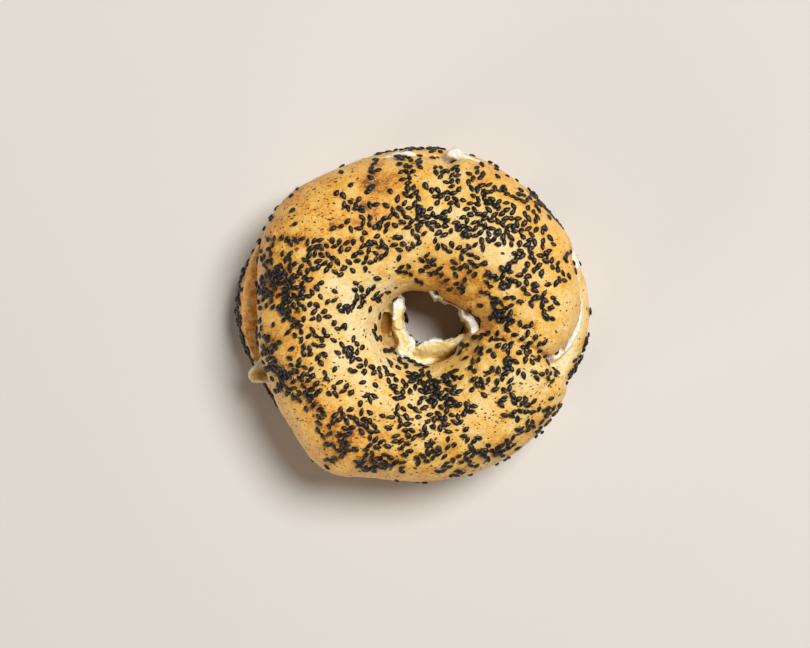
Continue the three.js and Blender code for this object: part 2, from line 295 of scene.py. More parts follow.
@dataclass(frozen=True)
class Crease:
    """A fold of dough along a line of points, with a step up to one side and a furrow at its foot."""

    path: tuple[Point, ...]
    rise: float
    groove: float
    width: float
    reach: float
    fade: float = 3.0

    def at(self, x: Array, y: Array) -> Array:
        """How far the fold stands off the crust at plan points.

        Args:
            x: Plan positions.
            y: Plan positions.

        Returns:
            Heights in millimetres, positive on the risen side.
        """
        just_before = -0.01
        nearest = np.full(np.shape(x), np.inf)
        across = np.zeros(np.shape(x))
        along = np.zeros(np.shape(x))
        lengths = [np.hypot(b[0] - a[0], b[1] - a[1]) for a, b in zip(self.path, self.path[1:])]
        total, done = sum(lengths), 0.0
        for (a, b), length in zip(zip(self.path, self.path[1:]), lengths):
            share, distance = to_line(x, y, a, b)
            side = np.sign((x - a[0]) * (b[1] - a[1]) - (y - a[1]) * (b[0] - a[0]))
            closer = distance < nearest
            across = np.where(closer, side * distance, across)
            along = np.where(closer, done + share * length, along)
            nearest = np.minimum(nearest, distance)
            done += length
        ends = smooth(along, just_before, self.fade) * smooth(total - along, just_before, self.fade)
        step = smooth(across, -self.width, self.width)
        top = self.rise * step * bell(np.maximum(0, across), self.reach)
        return (top - self.groove * bell(across + self.width / 2, self.width)) * ends


def knife(x: Array, y: Array) -> Array:
    """How far the knife wandered up and down, the same for both cut faces.

    Args:
        x: Plan positions.
        y: Plan positions.

    Returns:
        Heights in millimetres over the level cut.
    """
    reach, long_wave, cross_wave, shift = 0.35, 13, 17, 0.6
    short_wave, short_share = 7, 0.5
    sweep = np.sin(x / long_wave + shift) * np.cos(y / cross_wave)
    return reach * (sweep + short_share * np.sin((x + y) / short_wave))


# ---------------------------------------------------------------- meshes


def bearings_round(count: int) -> Array:
    """Bearings round the ring, closer together beside the tucked end of the rope.

    Args:
        count: How many there are.

    Returns:
        The bearings in degrees.
    """
    tuck, crowding = -20, 22
    even = np.arange(count) / count * 360
    return tuck + even - crowding * np.sin(np.radians(even))


def grid_normals(points: Array) -> Array:
    """Outward directions of a ring that is given as loops of points.

    Args:
        points: Places, with the bearing first and the way over the section second. Both close on themselves.

    Returns:
        Unit vectors in the same shape, out of the dough if the loops run from the hole over the top.
    """
    around = np.roll(points, -1, 0) - np.roll(points, 1, 0)
    over = np.roll(points, -1, 1) - np.roll(points, 1, 1)
    normals = np.cross(over, around)
    return normals / np.maximum(np.linalg.norm(normals, axis=-1, keepdims=True), 1e-12)


def ring_mesh(name: str, points: Array, facing: int, closed: bool = True) -> bpy.types.Mesh:
    """A smooth mesh from loops of points.

    Args:
        name: The mesh's name.
        points: Places in millimetres, with the bearing first and the way over the section second.
        facing: 1 if the loops run from the hole over the top to the rim, and -1 if they run underneath.
        closed: Whether each loop closes on itself.

    Returns:
        The mesh in metres, with its faces pointing out.
    """
    around, over = points.shape[:2]
    i, j = np.meshgrid(np.arange(around), np.arange(over if closed else over - 1), indexing="ij")
    after, beyond = (i + 1) % around, (j + 1) % over
    corners = [i * over + j, i * over + beyond, after * over + beyond, after * over + j]
    faces = np.stack(corners if facing > 0 else corners[::-1], -1).reshape(-1, 4)
    mesh = bpy.data.meshes.new(name)
    mesh.vertices.add(around * over)
    mesh.vertices.foreach_set("co", (points.reshape(-1, 3) * MM).astype(np.float32).ravel())
    mesh.loops.add(faces.size)
    mesh.loops.foreach_set("vertex_index", faces.astype(np.int32).ravel())
    mesh.polygons.add(len(faces))
    mesh.polygons.foreach_set("loop_start", np.arange(0, faces.size, 4, dtype=np.int32))
    mesh.polygons.foreach_set("use_smooth", np.ones(len(faces), bool))
    mesh.update(calc_edges=True)
    mesh.validate()
    return mesh


def mark(mesh: bpy.types.Mesh, name: str, values: Array) -> None:
    """Keeps one number a vertex on a mesh, for its finish to read.

    Args:
        mesh: The mesh.
        name: The name that the finish reads it by.
        values: The numbers, in the order of the vertices.
    """
    most = 2
    attribute = mesh.attributes.new(name, "FLOAT", "POINT")
    attribute.data.foreach_set("value", np.clip(values, -most, most).astype(np.float32).ravel())


def stand(name: str, data: bpy.types.ID) -> bpy.types.Object:
    """Puts a new object in the scene, at the origin.

    Args:
        name: The object's name.
        data: Its mesh, lamp or camera.

    Returns:
        The object.
    """
    thing = bpy.data.objects.new(name, data)
    bpy.context.scene.collection.objects.link(thing)
    return thing


def piece_of(name: str, mesh: bpy.types.Mesh, *finishes: bpy.types.Material) -> bpy.types.Object:
    """A new object at the origin, in the scene, with its finishes.

    Args:
        name: The object's name.
        mesh: Its mesh, already in place.
        finishes: The materials, in the order that the faces name them.

    Returns:
        The object.
    """
    piece = stand(name, mesh)
    mesh.materials.clear()
    for each in finishes:
        mesh.materials.append(each)
    return piece


# ---------------------------------------------------------------- node trees


class Tree:
    """A node tree, with short calls for its nodes and links."""

    def __init__(self, tree: bpy.types.NodeTree) -> None:
        """Takes up the tree of a material or of a modifier, and empties it."""
        self.tree = tree
        tree.nodes.clear()

    def feed(self, socket: Socket, value: object) -> None:
        """Links a socket to another, or sets its value.

        Args:
            socket: The socket that is fed.
            value: The socket that feeds it, or a plain value.
        """
        if isinstance(value, Socket):
            self.tree.links.new(value, socket)
        else:
            socket.default_value = value

    def add(
        self, kind: str, feeds: dict[int | str, object] | None = None, **settings: object
    ) -> bpy.types.Node:
        """A new node with its settings and what feeds its inputs.

        Args:
            kind: The node's type.
            feeds: What feeds each input, by the input's name or number.
            settings: The node's own settings, by name.

        Returns:
            The node.
        """
        node = self.tree.nodes.new(kind)
        for name, value in settings.items():
            setattr(node, name, value)
        for socket, value in (feeds or {}).items():
            self.feed(node.inputs[socket], value)
        return node

    def math(self, how: str, first: object, second: object = 0.0, third: object = 0.0) -> Socket:
        """A sum on numbers."""
        return self.add("ShaderNodeMath", {0: first, 1: second, 2: third}, operation=how).outputs[0]


@dataclass(frozen=True)
class Mottle:
    """Soft unevenness in a finish: a wave's width in millimetres, its finer layers and their strength."""

    size: float
    detail: float = 2.0
    roughness: float = 0.5


@dataclass(frozen=True)
class Specks:
    """Scattered specks of uneven size.

    The size is the distance between neighbours in millimetres. The least and the most are the radii of the
    smallest and the largest, as shares of that distance. They are slim times longer than wide, and the long
    ones lie turned by an angle in radians.
    """

    size: float
    least: float
    most: float
    slim: float
    turned: float = 0.7


Relief = tuple[tuple[Mottle, float], ...]


class Board(Tree):
    """A material's node tree, with short calls for the nodes that the finishes share."""

    def __init__(self, name: str) -> None:
        """Starts a material with a plain shader.

        Args:
            name: The material's name.
        """
        self.material = bpy.data.materials.new(name)
        self.material.use_nodes = True
        super().__init__(self.material.node_tree)
        self.shader = self.add("ShaderNodeBsdfPrincipled")
        self.add("ShaderNodeOutputMaterial", {"Surface": self.shader.outputs["BSDF"]})
        self.place = self.add("ShaderNodeTexCoord").outputs["Object"]

    def dress(self, **sockets: object) -> None:
        """Feeds the shader's sockets, whose spaces are written as underscores."""
        for name, value in sockets.items():
            self.feed(self.shader.inputs[name.replace("_", " ")], value)

    def value(self, name: str) -> Socket:
        """A number kept on the mesh's vertices."""
        return self.add("ShaderNodeAttribute", attribute_name=name).outputs["Fac"]

    def noise(self, mottle: Mottle) -> Socket:
        """Soft unevenness.

        Args:
            mottle: The kind of unevenness.

        Returns:
            Numbers from 0 to 1, mostly close to a half.
        """
        feeds = {"Vector": self.place, "Scale": 1 / (mottle.size * MM)}
        feeds |= {"Detail": mottle.detail, "Roughness": mottle.roughness}
        return self.add("ShaderNodeTexNoise", feeds).outputs["Fac"]

    def wave(self, value: object, reach: float, mottle: Mottle) -> Socket:
        """A number with soft unevenness added, from nothing up to the reach."""
        return self.math("MULTIPLY_ADD", self.noise(mottle), reach, value)

    def window(self, value: object, low: float, high: float) -> Socket:
        """A soft step from 0 at low to 1 at high."""
        feeds = {"Value": value, "From Min": low, "From Max": high}
        return self.add("ShaderNodeMapRange", feeds, interpolation_type="SMOOTHSTEP").outputs["Result"]

    def blend(self, share: object, first: object, second: object) -> Socket:
        """A mix of two colours."""
        return self.add("ShaderNodeMix", {0: share, 6: first, 7: second}, data_type="RGBA").outputs[2]

    def ramp(self, value: object, stops: tuple[float, ...], colours: tuple[Colour, ...]) -> Socket:
        """A colour for each number.

        Args:
            value: The number.
            stops: Numbers, from the lowest to the highest.
            colours: The colours at those numbers.

        Returns:
            The colour, which runs evenly from stop to stop.
        """
        node = self.add("ShaderNodeValToRGB", {0: value})
        elements = node.color_ramp.elements
        while len(elements) < len(stops):
            elements.new(0.5)
        for element, place, colour in zip(elements, stops, colours):
            element.position = place
            element.color = colour
        return node.outputs[0]

    def bent(self, size: float, reach: float) -> Socket:
        """The place, pushed about by soft waves.

        Args:
            size: The width of one wave, in millimetres.
            reach: The most that it is pushed, in millimetres.

        Returns:
            The new place.
        """
        waves = self.add("ShaderNodeTexNoise", {"Vector": self.place, "Scale": 1 / (size * MM)})
        feeds = {0: waves.outputs["Color"], 1: (reach * MM,) * 3, 2: self.place}
        return self.add("ShaderNodeVectorMath", feeds, operation="MULTIPLY_ADD").outputs[0]

    def specks(self, kind: Specks, cover: object) -> Socket:
        """Scattered specks with ragged edges.

        Args:
            kind: Their sizes and how they lie.
            cover: The share of the places that hold one.

        Returns:
            1 on a speck and 0 off it.
        """
        bend_size, bend_reach, tipped, rolled = 5.0, 3.0, 0.4, 0.3
        rag_share, rag_reach = 0.35, 0.12
        rags = Mottle(kind.size * rag_share, 1.0)
        edge: Span = (-0.02, 0.05)
        bent = self.bent(bend_size, bend_reach)
        way = {
            "Vector": bent,
            "Rotation": (tipped, rolled, kind.turned),
            "Scale": (1.0, kind.slim, kind.slim),
        }
        squashed = self.add("ShaderNodeMapping", way).outputs["Vector"]
        cells = self.add("ShaderNodeTexVoronoi", {"Vector": squashed, "Scale": 1 / (kind.size * MM)})
        chance = self.add("ShaderNodeSeparateColor", {0: cells.outputs["Color"]}).outputs
        there = self.math("LESS_THAN", chance[0], cover)
        radius = self.math("MULTIPLY_ADD", chance[1], kind.most - kind.least, kind.least)
        ragged = self.wave(cells.outputs["Distance"], rag_reach, rags)
        inside = self.math("SUBTRACT", radius, self.math("SUBTRACT", ragged, rag_reach / 2))
        return self.math("MULTIPLY", self.window(inside, *edge), there)

    def emboss(self, *layers: tuple[object, float]) -> None:
        """Presses layers of relief into the shader's surface.

        Args:
            layers: Pairs of a relief and its depth in millimetres. The relief is a kind of unevenness, or a
                socket with heights from 0 to 1.
        """
        under = {}
        for relief, depth in layers:
            height = self.noise(relief) if isinstance(relief, Mottle) else relief
            feeds = {"Strength": 1.0, "Distance": depth * MM, "Height": height, **under}
            under = {"Normal": self.add("ShaderNodeBump", feeds).outputs["Normal"]}
        self.dress(**under)


# ---------------------------------------------------------------- finishes


@dataclass(frozen=True)
class CrustFinish:
    """Baked crust: pale where it swelled, gold on the whole, brown where it caught the heat."""

    name: str
    pale: Colour = paint(255, 229, 168)
    light: Colour = paint(254, 211, 128)
    gold: Colour = paint(250, 193, 84)
    deep: Colour = paint(230, 152, 46)
    brown: Colour = paint(138, 88, 42)
    # blush is the walls' pinkish tan: partly less-baked crust, partly the painted tint of the shaded west
    # side.
    blush: Colour = paint(250, 194, 122)
    fleck: Colour = paint(66, 34, 16)
    fleck_pale: Colour = paint(118, 66, 28)
    smear: Colour = paint(255, 232, 168)
    stops: tuple[float, ...] = (0.0, 0.28, 0.52, 0.76, 1.0)
    clouds: Mottle = Mottle(6.0, 4.0, 0.6)
    cloud_reach: float = 1.2
    grain: Mottle = Mottle(1.1, 5.0, 0.78)
    grain_reach: float = 1.3
    blisters: Specks = Specks(0.9, 0.12, 0.34, 1.4)
    blister_share: float = 0.6
    blister_strength: float = 0.5
    blister_depth: float = 0.1
    fine_flecks: Specks = Specks(1.6, 0.15, 0.34, 1.5)
    fine_share: float = 1.15
    coarse_flecks: Specks = Specks(2.3, 0.16, 0.34, 1.5, 2.2)
    fleck_strength: float = 0.95
    fleck_mix: Mottle = Mottle(1.6)
    fleck_span: Span = (0.45, 0.6)
    smear_edge: Mottle = Mottle(2.0, 4.0, 0.6)
    smear_reach: float = 0.9
    smear_span: Span = (0.8, 1.35)
    sheen: Mottle = Mottle(3.0, 2.0)
    sheen_reach: float = 0.22
    roughness: float = 0.5
    specular: float = 0.42
    relief: Relief = ((Mottle(2.6, 5.0, 0.62), 0.75), (Mottle(0.6, 3.0, 0.6), 0.2))

    def bake(self, board: Board) -> Socket:
        """The colour that the oven gave, with the light and shade that the tone and the blush paint in
        places.

        Args:
            board: The crust's board.

        Returns:
            The colour, without flecks or cheese.
        """
        tone = board.wave(board.value("tone"), self.cloud_reach, self.clouds)
        tone = board.wave(tone, self.grain_reach, self.grain)
        tone = board.math("SUBTRACT", tone, (self.cloud_reach + self.grain_reach) / 2)
        baked = board.ramp(tone, self.stops, (self.pale, self.light, self.gold, self.deep, self.brown))
        return board.blend(board.value("blush"), baked, self.blush)

    def dust(self, board: Board, colour: Socket) -> Socket:
        """Strews dark flecks of broken seed over a colour.

        Args:
            board: The crust's board.
            colour: The colour under them.

        Returns:
            The flecked colour.
        """
        flecks = board.value("flecks")
        fine = board.specks(self.fine_flecks, board.math("MULTIPLY", flecks, self.fine_share))
        coarse = board.specks(self.coarse_flecks, flecks)
        either = board.math("MAXIMUM", fine, coarse)
        paler = board.window(board.noise(self.fleck_mix), *self.fleck_span)
        fleck = board.blend(paler, self.fleck, self.fleck_pale)
        return board.blend(board.math("MULTIPLY", either, self.fleck_strength), colour, fleck)

    def build(self) -> bpy.types.Material:
        """Makes the material.

        Returns:
            The material, which reads the vertex values tone, blush, flecks and smear.
        """
        board = Board(self.name)
        blisters = board.specks(self.blisters, self.blister_share)
        swollen = board.math("MULTIPLY", blisters, self.blister_strength)
        colour = board.blend(swollen, self.bake(board), self.pale)
        spread = board.wave(board.value("smear"), self.smear_reach, self.smear_edge)
        smeared = board.window(spread, *self.smear_span)
        colour = board.blend(smeared, self.dust(board, colour), self.smear)
        gloss = board.wave(self.roughness - self.sheen_reach / 2, self.sheen_reach, self.sheen)
        board.dress(Base_Color=colour, Roughness=gloss, Specular_IOR_Level=self.specular)
        board.emboss(*self.relief, (blisters, self.blister_depth))
        return board.material


@dataclass(frozen=True)
class CrumbFinish:
    """The toasted cut face, smeared here and there with a thin film of cheese."""

    name: str
    light: Colour = paint(253, 210, 132)
    toast: Colour = paint(238, 174, 82)
    dark: Colour = paint(186, 116, 44)
    film: Colour = paint(251, 230, 184)
    stops: tuple[float, ...] = (0.36, 0.48, 0.6)
    toasting: Mottle = Mottle(1.9, 5.0, 0.7)
    browning: float = 0.25
    film_edge: Mottle = Mottle(2.8, 4.0, 0.65)
    film_reach: float = 2.2
    film_span: Span = (1.5, 2.0)
    roughness: float = 0.6
    relief: Relief = ((Mottle(1.2, 4.0, 0.65), 0.5),)

    def build(self) -> bpy.types.Material:
        """Makes the material.

        Returns:
            The material, which reads the vertex value film: a film above 0, and a darker toast below it.
        """
        board = Board(self.name)
        baked = board.math("MINIMUM", board.value("film"), 0.0)
        toasted = board.math("MULTIPLY_ADD", baked, self.browning, board.noise(self.toasting))
        crumb = board.ramp(toasted, self.stops, (self.dark, self.toast, self.light))
        spread = board.wave(board.value("film"), self.film_reach, self.film_edge)
        colour = board.blend(board.window(spread, *self.film_span), crumb, self.film)
        board.dress(Base_Color=colour, Roughness=self.roughness)
        board.emboss(*self.relief)
        return board.material


@dataclass(frozen=True)
class CheeseFinish:
    """Cream cheese: white where it is thick, yellow and brown where it is smeared thin over toast and where
    shade is painted on it, with a warm painted reflection of the crust in the hole.
    """

    name: str = "cream_cheese"
    white: Colour = paint(243, 239, 224)
    # The cream and the amber stand both for cheese smeared over toast and for painted shade, warmed by a
    # painted reflection of the crust.
    cream: Colour = paint(241, 218, 144)
    amber_and_shade: Colour = paint(146, 98, 14)
    stops: tuple[float, ...] = (0.1, 0.42, 0.9)
    patches: Mottle = Mottle(1.5, 4.0, 0.65)
    patch_reach: float = 0.44
    roughness: float = 0.36
    dulling: float = 0.36
    specular: float = 0.45
    glow: float = 0.06
    glow_reach: tuple[float, float, float] = (1.0, 0.9, 0.7)
    relief: Relief = ((Mottle(1.1, 3.0, 0.5), 0.16), (Mottle(0.35, 2.0), 0.05))

    def build(self) -> bpy.types.Material:
        """Makes the material.

        Returns:
            The material, which reads the vertex value stain, for toast stains and painted shade.
        """
        board = Board(self.name)
        stain_and_shade = board.wave(board.value("stain_and_shade"), self.patch_reach, self.patches)
        stain_and_shade = board.math("SUBTRACT", stain_and_shade, self.patch_reach / 2)
        colour = board.ramp(stain_and_shade, self.stops, (self.white, self.cream, self.amber_and_shade))
        gloss = board.math("MULTIPLY_ADD", stain_and_shade, self.dulling, self.roughness)
        board.dress(Base_Color=colour, Roughness=gloss, Specular_IOR_Level=self.specular)
        board.dress(Subsurface_Weight=self.glow, Subsurface_Radius=self.glow_reach, Subsurface_Scale=MM)
        board.emboss(*self.relief)
        return board.material


@dataclass(frozen=True)
class SeedFinish:
    """Black sesame: nearly black, with a dull grey sheen, and here and there a brown one."""

    name: str = "black_sesame"
    black: Colour = paint(22, 19, 19)
    brown: Colour = paint(60, 42, 34)
    brown_span: Span = (0.7, 1.15)
    roughness: float = 0.42
    specular: float = 0.5
    relief: Relief = ((Mottle(0.5, 3.0, 0.6), 0.07),)

    def build(self) -> bpy.types.Material:
        """Makes the material.

        Returns:
            The material, which reads the vertex value tint.
        """
        board = Board(self.name)
        share = board.window(board.value("tint"), *self.brown_span)
        colour = board.blend(share, self.black, self.brown)
        board.dress(Base_Color=colour, Roughness=self.roughness, Specular_IOR_Level=self.specular)
        board.emboss(*self.relief)
        return board.material


@dataclass(frozen=True)
class FloorFinish:
    """A plain pale table."""

    name: str = "table"
    colour: Colour = paint(222, 218, 212)
    roughness: float = 0.7
    specular: float = 0.2

    def build(self) -> bpy.types.Material:
        """Makes the material.

        Returns:
            The material, which is the same all over.
        """
        board = Board(self.name)
        board.dress(Base_Color=self.colour, Roughness=self.roughness, Specular_IOR_Level=self.specular)
        return board.material


# ---------------------------------------------------------------- the bread


class Side(Enum):
    """Which way a half's crust faces. The value is the sign of its height."""

    UP = 1
    DOWN = -1


@dataclass(frozen=True)
class Steps:
    """How finely a form is cut: steps round the ring, over the crust and across the cut face."""

    around: int
    over: int
    across: int


@dataclass(frozen=True)
class Sight:
    """The eye over the bagel: marks are placed where they show on one level plane."""

    x: float = -3.4
    y: float = -3.1
    level: float = 23.0
    height: float = 720.0

    def plan(self, points: Array) -> tuple[Array, Array]:
        """Where points in space show on the plane, as their x and their y."""
        spread = self.height / (self.height + self.level - points[..., 2])
        return self.x + (points[..., 0] - self.x) * spread, self.y + (points[..., 1] - self.y) * spread


SIGHT = Sight()

DOUGH_LUMPS = Grain(9.0, 0.42, 3)
DOUGH_GRAIN = Grain(2.6, 0.13, 2, 7.3)
CRUMB_PORES = Grain(2.4, 0.28, 3)
FILM_PATCHES = Grain(5.0, 1.0, 2, 31.0)
MARK_DRIFT = Wander(8.0, 2.6, (3.1, 11.7))


@dataclass(frozen=True)
class BreadHalf:
    """One half of the bread: its plan, its section, its relief, where it took colour and where light and
    shade are painted on it.
    """

    name: str
    node: str
    slot: str
    side: Side
    ring: Ring
    cut: float
    equator: float
    crown: float
    squareness: float
    curl: float
    lean: float
    relief: tuple[Spot | Crease, ...]
    tones: tuple[Spot, ...]
    flecks: tuple[Spot, ...]
    base_tone: float
    steps: Steps
    smears: tuple[Stroke, ...] = ()
    relief_rise: float = 30.0

    def curl_at(self, bearings: Array) -> Array:
        """How many degrees the crust turns under at each bearing."""
        return self.curl + self.lean * np.cos(np.radians(bearings))

    def smooth_crust(self, bearings: Array, shares: Array) -> tuple[Array, Array]:
        """The rounded crust before its relief.

        Args:
            bearings: Bearings round the ring.
            shares: The way over the crust, from the hole's cut edge, 0, to the rim's cut edge, 1.

        Returns:
            The points, with the bearing first, and how far the relief reaches at each, 0 at the cut edges.
        """
        power = 2 / self.squareness
        curl = self.curl_at(bearings)
        turned = -curl + (180 + 2 * curl) * shares
        share = 0.5 * (1 - signed_power(np.cos(np.radians(turned)), power))
        rise = signed_power(np.sin(np.radians(turned)), power)
        under = abs(self.equator) / np.sin(np.radians(curl)) ** power
        lift = rise * np.where(rise > 0, self.crown, under) * self.side.value
        x, y = self.ring.plan(bearings, share)
        fade = np.clip(1 - np.abs(turned - 90) / (90 + curl), 0, 1)
        z = self.cut + self.equator + lift + knife(x, y) * (1 - np.sqrt(fade))
        edge = np.clip((90 + curl - np.abs(turned - 90)) / self.relief_rise, 0, 1)
        return np.stack([x, y, z], -1), edge

    def crust(self) -> Array:
        """The crust with its relief, as loops of points.

        Returns:
            The points, with the bearing first and the way from the hole's cut edge to the rim's second.
        """
        bearings = bearings_round(self.steps.around)[:, None]
        shares = np.linspace(0, 1, self.steps.over + 1)[None, :]
        points, edge = self.smooth_crust(bearings, shares)
        normals = grid_normals(points) * self.side.value
        normals[:, 0], normals[:, -1] = normals[:, 1], normals[:, -2]
        height = sum(each.at(points[..., 0], points[..., 1]) for each in self.relief)
        height = height + DOUGH_LUMPS.at(points) + DOUGH_GRAIN.at(points)
        points = points + normals * (height * edge)[..., None]
        points[..., 2] = np.maximum(0, points[..., 2])
        return points

    def cut_face(self, crust: Array) -> Array:
        """The cut face's inner points, from the rim back to the hole.

        Args:
            crust: The crust's points.

        Returns:
            The points, with the bearing first, without the two cut edges.
        """
        steepness = 6
        even = np.linspace(0, 1, self.steps.across + 1)[1:-1]
        share = smooth(even, 0, 1)[None, :, None]
        points = crust[:, -1:] * (1 - share) + crust[:, :1] * share
        x, y = points[..., 0], points[..., 1]
        rough = CRUMB_PORES.at(points) * np.minimum(1, steepness * even * (1 - even))
        points[..., 2] = self.cut + knife(x, y) + rough
        return points

    def blush_at(self, points: Array, x: Array, y: Array) -> Array:
        """How pink the crust is: on its outer walls, which baked less, and mostly to the west, where the tint
        of the shaded side is painted.

        Args:
            points: The half's points.
            x: Where they show in plan.
            y: Where they show in plan.

        Returns:
            The blush, from 0 to 1.
        """
        most, least_share, west, spread = 0.75, 0.25, -160, 50
        gentle, steep, crown_end, wall_start = 0.15, 0.6, 34, 42
        slope = 1 - np.abs(grid_normals(points)[..., 2])
        wall = smooth(slope, gentle, steep) * smooth(np.hypot(x, y), crown_end, wall_start)
        # More to the west: the painted tint of the side that lies in shade.
        westward = least_share + (1 - least_share) * bell(turn(west, bearings_of(points)), spread)
        return most * wall * westward

    def film_at(self, points: Array) -> Array:
        """How thick the film of cheese is on the cut face, away from the rim.

        Args:
            points: The half's points.

        Returns:
            The film, 1 where it covers the crumb, 0 where it is bare, and below 0 where that is darker toast.
        """
        lip, lip_spread, lip_loss = -18, 6, 0.2
        toast, toast_spread = 178, 26
        patch_from, patch_full, patch_step, darkest = 0.05, 0.5, 0.95, -0.4
        film_from, film_full, east_push = 0.6, 3.8, 3.0
        bearings = bearings_of(points)
        rim = points[:, self.steps.over : self.steps.over + 1]
        eastward = np.maximum(np.cos(np.radians(bearings)), 0)
        pushed = np.linalg.norm(points - rim, axis=-1) + east_push * eastward
        film = smooth(pushed, film_from, film_full) * (1 - lip_loss * bell(turn(lip, bearings), lip_spread))
        patches = patch_step * smooth(FILM_PATCHES.at(points), patch_from, patch_full) + darkest
        return film + bell(turn(toast, bearings), toast_spread) * (patches - film)

    def marks(self, points: Array, cover: Array) -> dict[str, Array]:
        """Where the bread took colour, and where light and shade are painted on it.

        Args:
            points: The half's points.
            cover: How thick the seeds lie on them.

        Returns:
            The values that the finishes read, by name.
        """
        seed_browning_and_shade, fewest_flecks = 0.2, 0.2
        wall_from, wall_clean = 7, 11
        x, y = MARK_DRIFT.push(points, *SIGHT.plan(points))
        # Darker where the seeds lie thick: partly browning, partly painted shade between the seeds.
        tone = self.base_tone + seed_browning_and_shade * cover + sum(each.at(x, y) for each in self.tones)
        flecks = fewest_flecks + sum(each.at(x, y) for each in self.flecks)
        smear = sum((each.at(x, y) for each in self.smears), np.zeros(x.shape))
        smear = smear * (1 - smooth(np.abs(points[..., 2] - self.cut), wall_from, wall_clean))
        film = np.maximum(self.film_at(points), smear)
        blush = self.blush_at(points, x, y)
        return {"tone": tone, "flecks": flecks, "blush": blush, "film": film, "smear": smear}

    def build(
        self, crust_finish: CrustFinish, crumb_finish: CrumbFinish, coat: "SeedCoat"
    ) -> bpy.types.Object:
        """Makes the half and hands it over to the frame.

        Args:
            crust_finish: The crust's finish.
            crumb_finish: The cut face's finish.
            coat: The seeds on it; the crust is darker where they lie thick, partly browning and partly
                painted shade between them.

        Returns:
            The finished piece.
        """
        crust = self.crust()
        points = np.concatenate([crust, self.cut_face(crust)], 1)
        mesh = ring_mesh(self.name, points, self.side.value)
        for name, values in self.marks(points, coat.layers(points)[0]).items():
            mark(mesh, name, values)
        piece = piece_of(self.name, mesh, crust_finish.build(), crumb_finish.build())
        across = np.arange(len(mesh.polygons)) % points.shape[1]
        mesh.polygons.foreach_set("material_index", (across >= self.steps.over).astype(np.int32))
        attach(piece, "root")
        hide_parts(self.node)
        return piece


UPPER = BreadHalf(
    name="upper_half",
    node="top_half",
    slot="upper_bread",
    side=Side.UP,
    ring=Ring(
        hole=Outline(
            (5.1, -2.4),
            13.1,
            bumps(
                (-166, 4.4, 34), (66, -4.3, 34), (81, 1.2, 9), (-4, 3.6, 9), (-32, -1.2, 12), (-95, 1.0, 24),
            ),
        ),
        rim=Outline(
            (0, 0),
            56.1,
            bumps(
                (148, 3.2, 14),
                (176, -3.0, 17),
                (-120, 4.1, 10, 8),
                (-155, -0.8, 12),
                (-45, 1.2, 20),
                (86, -2.4, 9, 17),
                (77.5, -2.2, 2.4),
                (24, 1.7, 2.0, 7),
                (-20, -6.0, 2.5, 12),
                (-20, -4.5, 2.5, 4),
            ),
        ),
    ),
    cut=23.3,
    equator=4.5,
    crown=19.2,
    squareness=2.25,
    curl=34,
    lean=0,
    relief=(
        *spots(
            (-14, 44, 9, -1.1), (-31, 33, 12, 0.9), (6, 32, 12, 0.6), (33, 25, 11, 0.9), (28, 1, 8, -1.3),
            (47, 2, 8, 0.8), (40, -24, 9, 1.0), (8, -27, 8, -1.0), (-24, -6, 11, 0.9), (-43, 15, 7, -0.8),
            (-22, -36, 13, 0.7), (22, -40, 12, 0.6),
        ),
        Crease(((21.0, -6.0), (29, -8.6), (35, -10.4), (46.5, -16.2)), 1.5, 1.3, 0.9, 8),
        Crease(((-54, -15.5), (-42, -19.5)), -0.7, 0.6, 1.2, 6),
    ),
    # Tone spots; most follow the baking. The lightening spots at (-9, 0) and (0, -18) are painted light on
    # the shaded wall beside the hole, and the spots at (-18, 31) and (-28, -45) darken it partly as painted
    # shade between the seeds.
    tones=spots(
        (-38, 36, 12, 0.24), (-9, 0, 6, -0.2), (0, -18, 7, -0.2), (-12.5, 46, 5, 0.34), (-8, 38, 9, 0.14),
        (-50, 26, 5, 0.16), (-22, 4, 10, -0.34), (-22, -14, 8, -0.26), (-17, -24, 8, -0.2),
        (10, 28, 8, -0.24), (-3, 33, 8, -0.2), (24, 25, 7, -0.30), (34, 19, 6, -0.30), (12, 9, 7, 0.2),
        (8, 19, 8, 0.16), (20, 13, 6, 0.14), (25, -3, 4, 0.32), (36, -21, 6, -0.34), (1, -36, 6, -0.16),
        (-46, -4, 5, 0.20), (-44, 12, 5, 0.22), (-44, -13, 5, 0.14), (-28, -45, 10, 0.28),
        (-38, -27, 9, 0.15), (-18, 31, 7, 0.08), (18, -31, 8, -0.12), (0, -52, 12, 0.08), (43, 38, 6, 0.12),
        (27, 50, 5, 0.18), (53, 24, 5, 0.12),
    ),
    flecks=spots(
        (-36, 37, 11, 0.5), (22, -41, 11, 0.5), (-8, -44, 11, 0.4), (-40, -30, 9, 0.4), (40, -23, 8, 0.4),
        (-23, -24, 8, 0.3), (5, -38, 8, 0.3),
    ),
    base_tone=0.39,
    steps=Steps(420, 150, 24),
    smears=strokes((14.5, 53.4, 21.5, 51.4, 1.3, 0.75)),
)

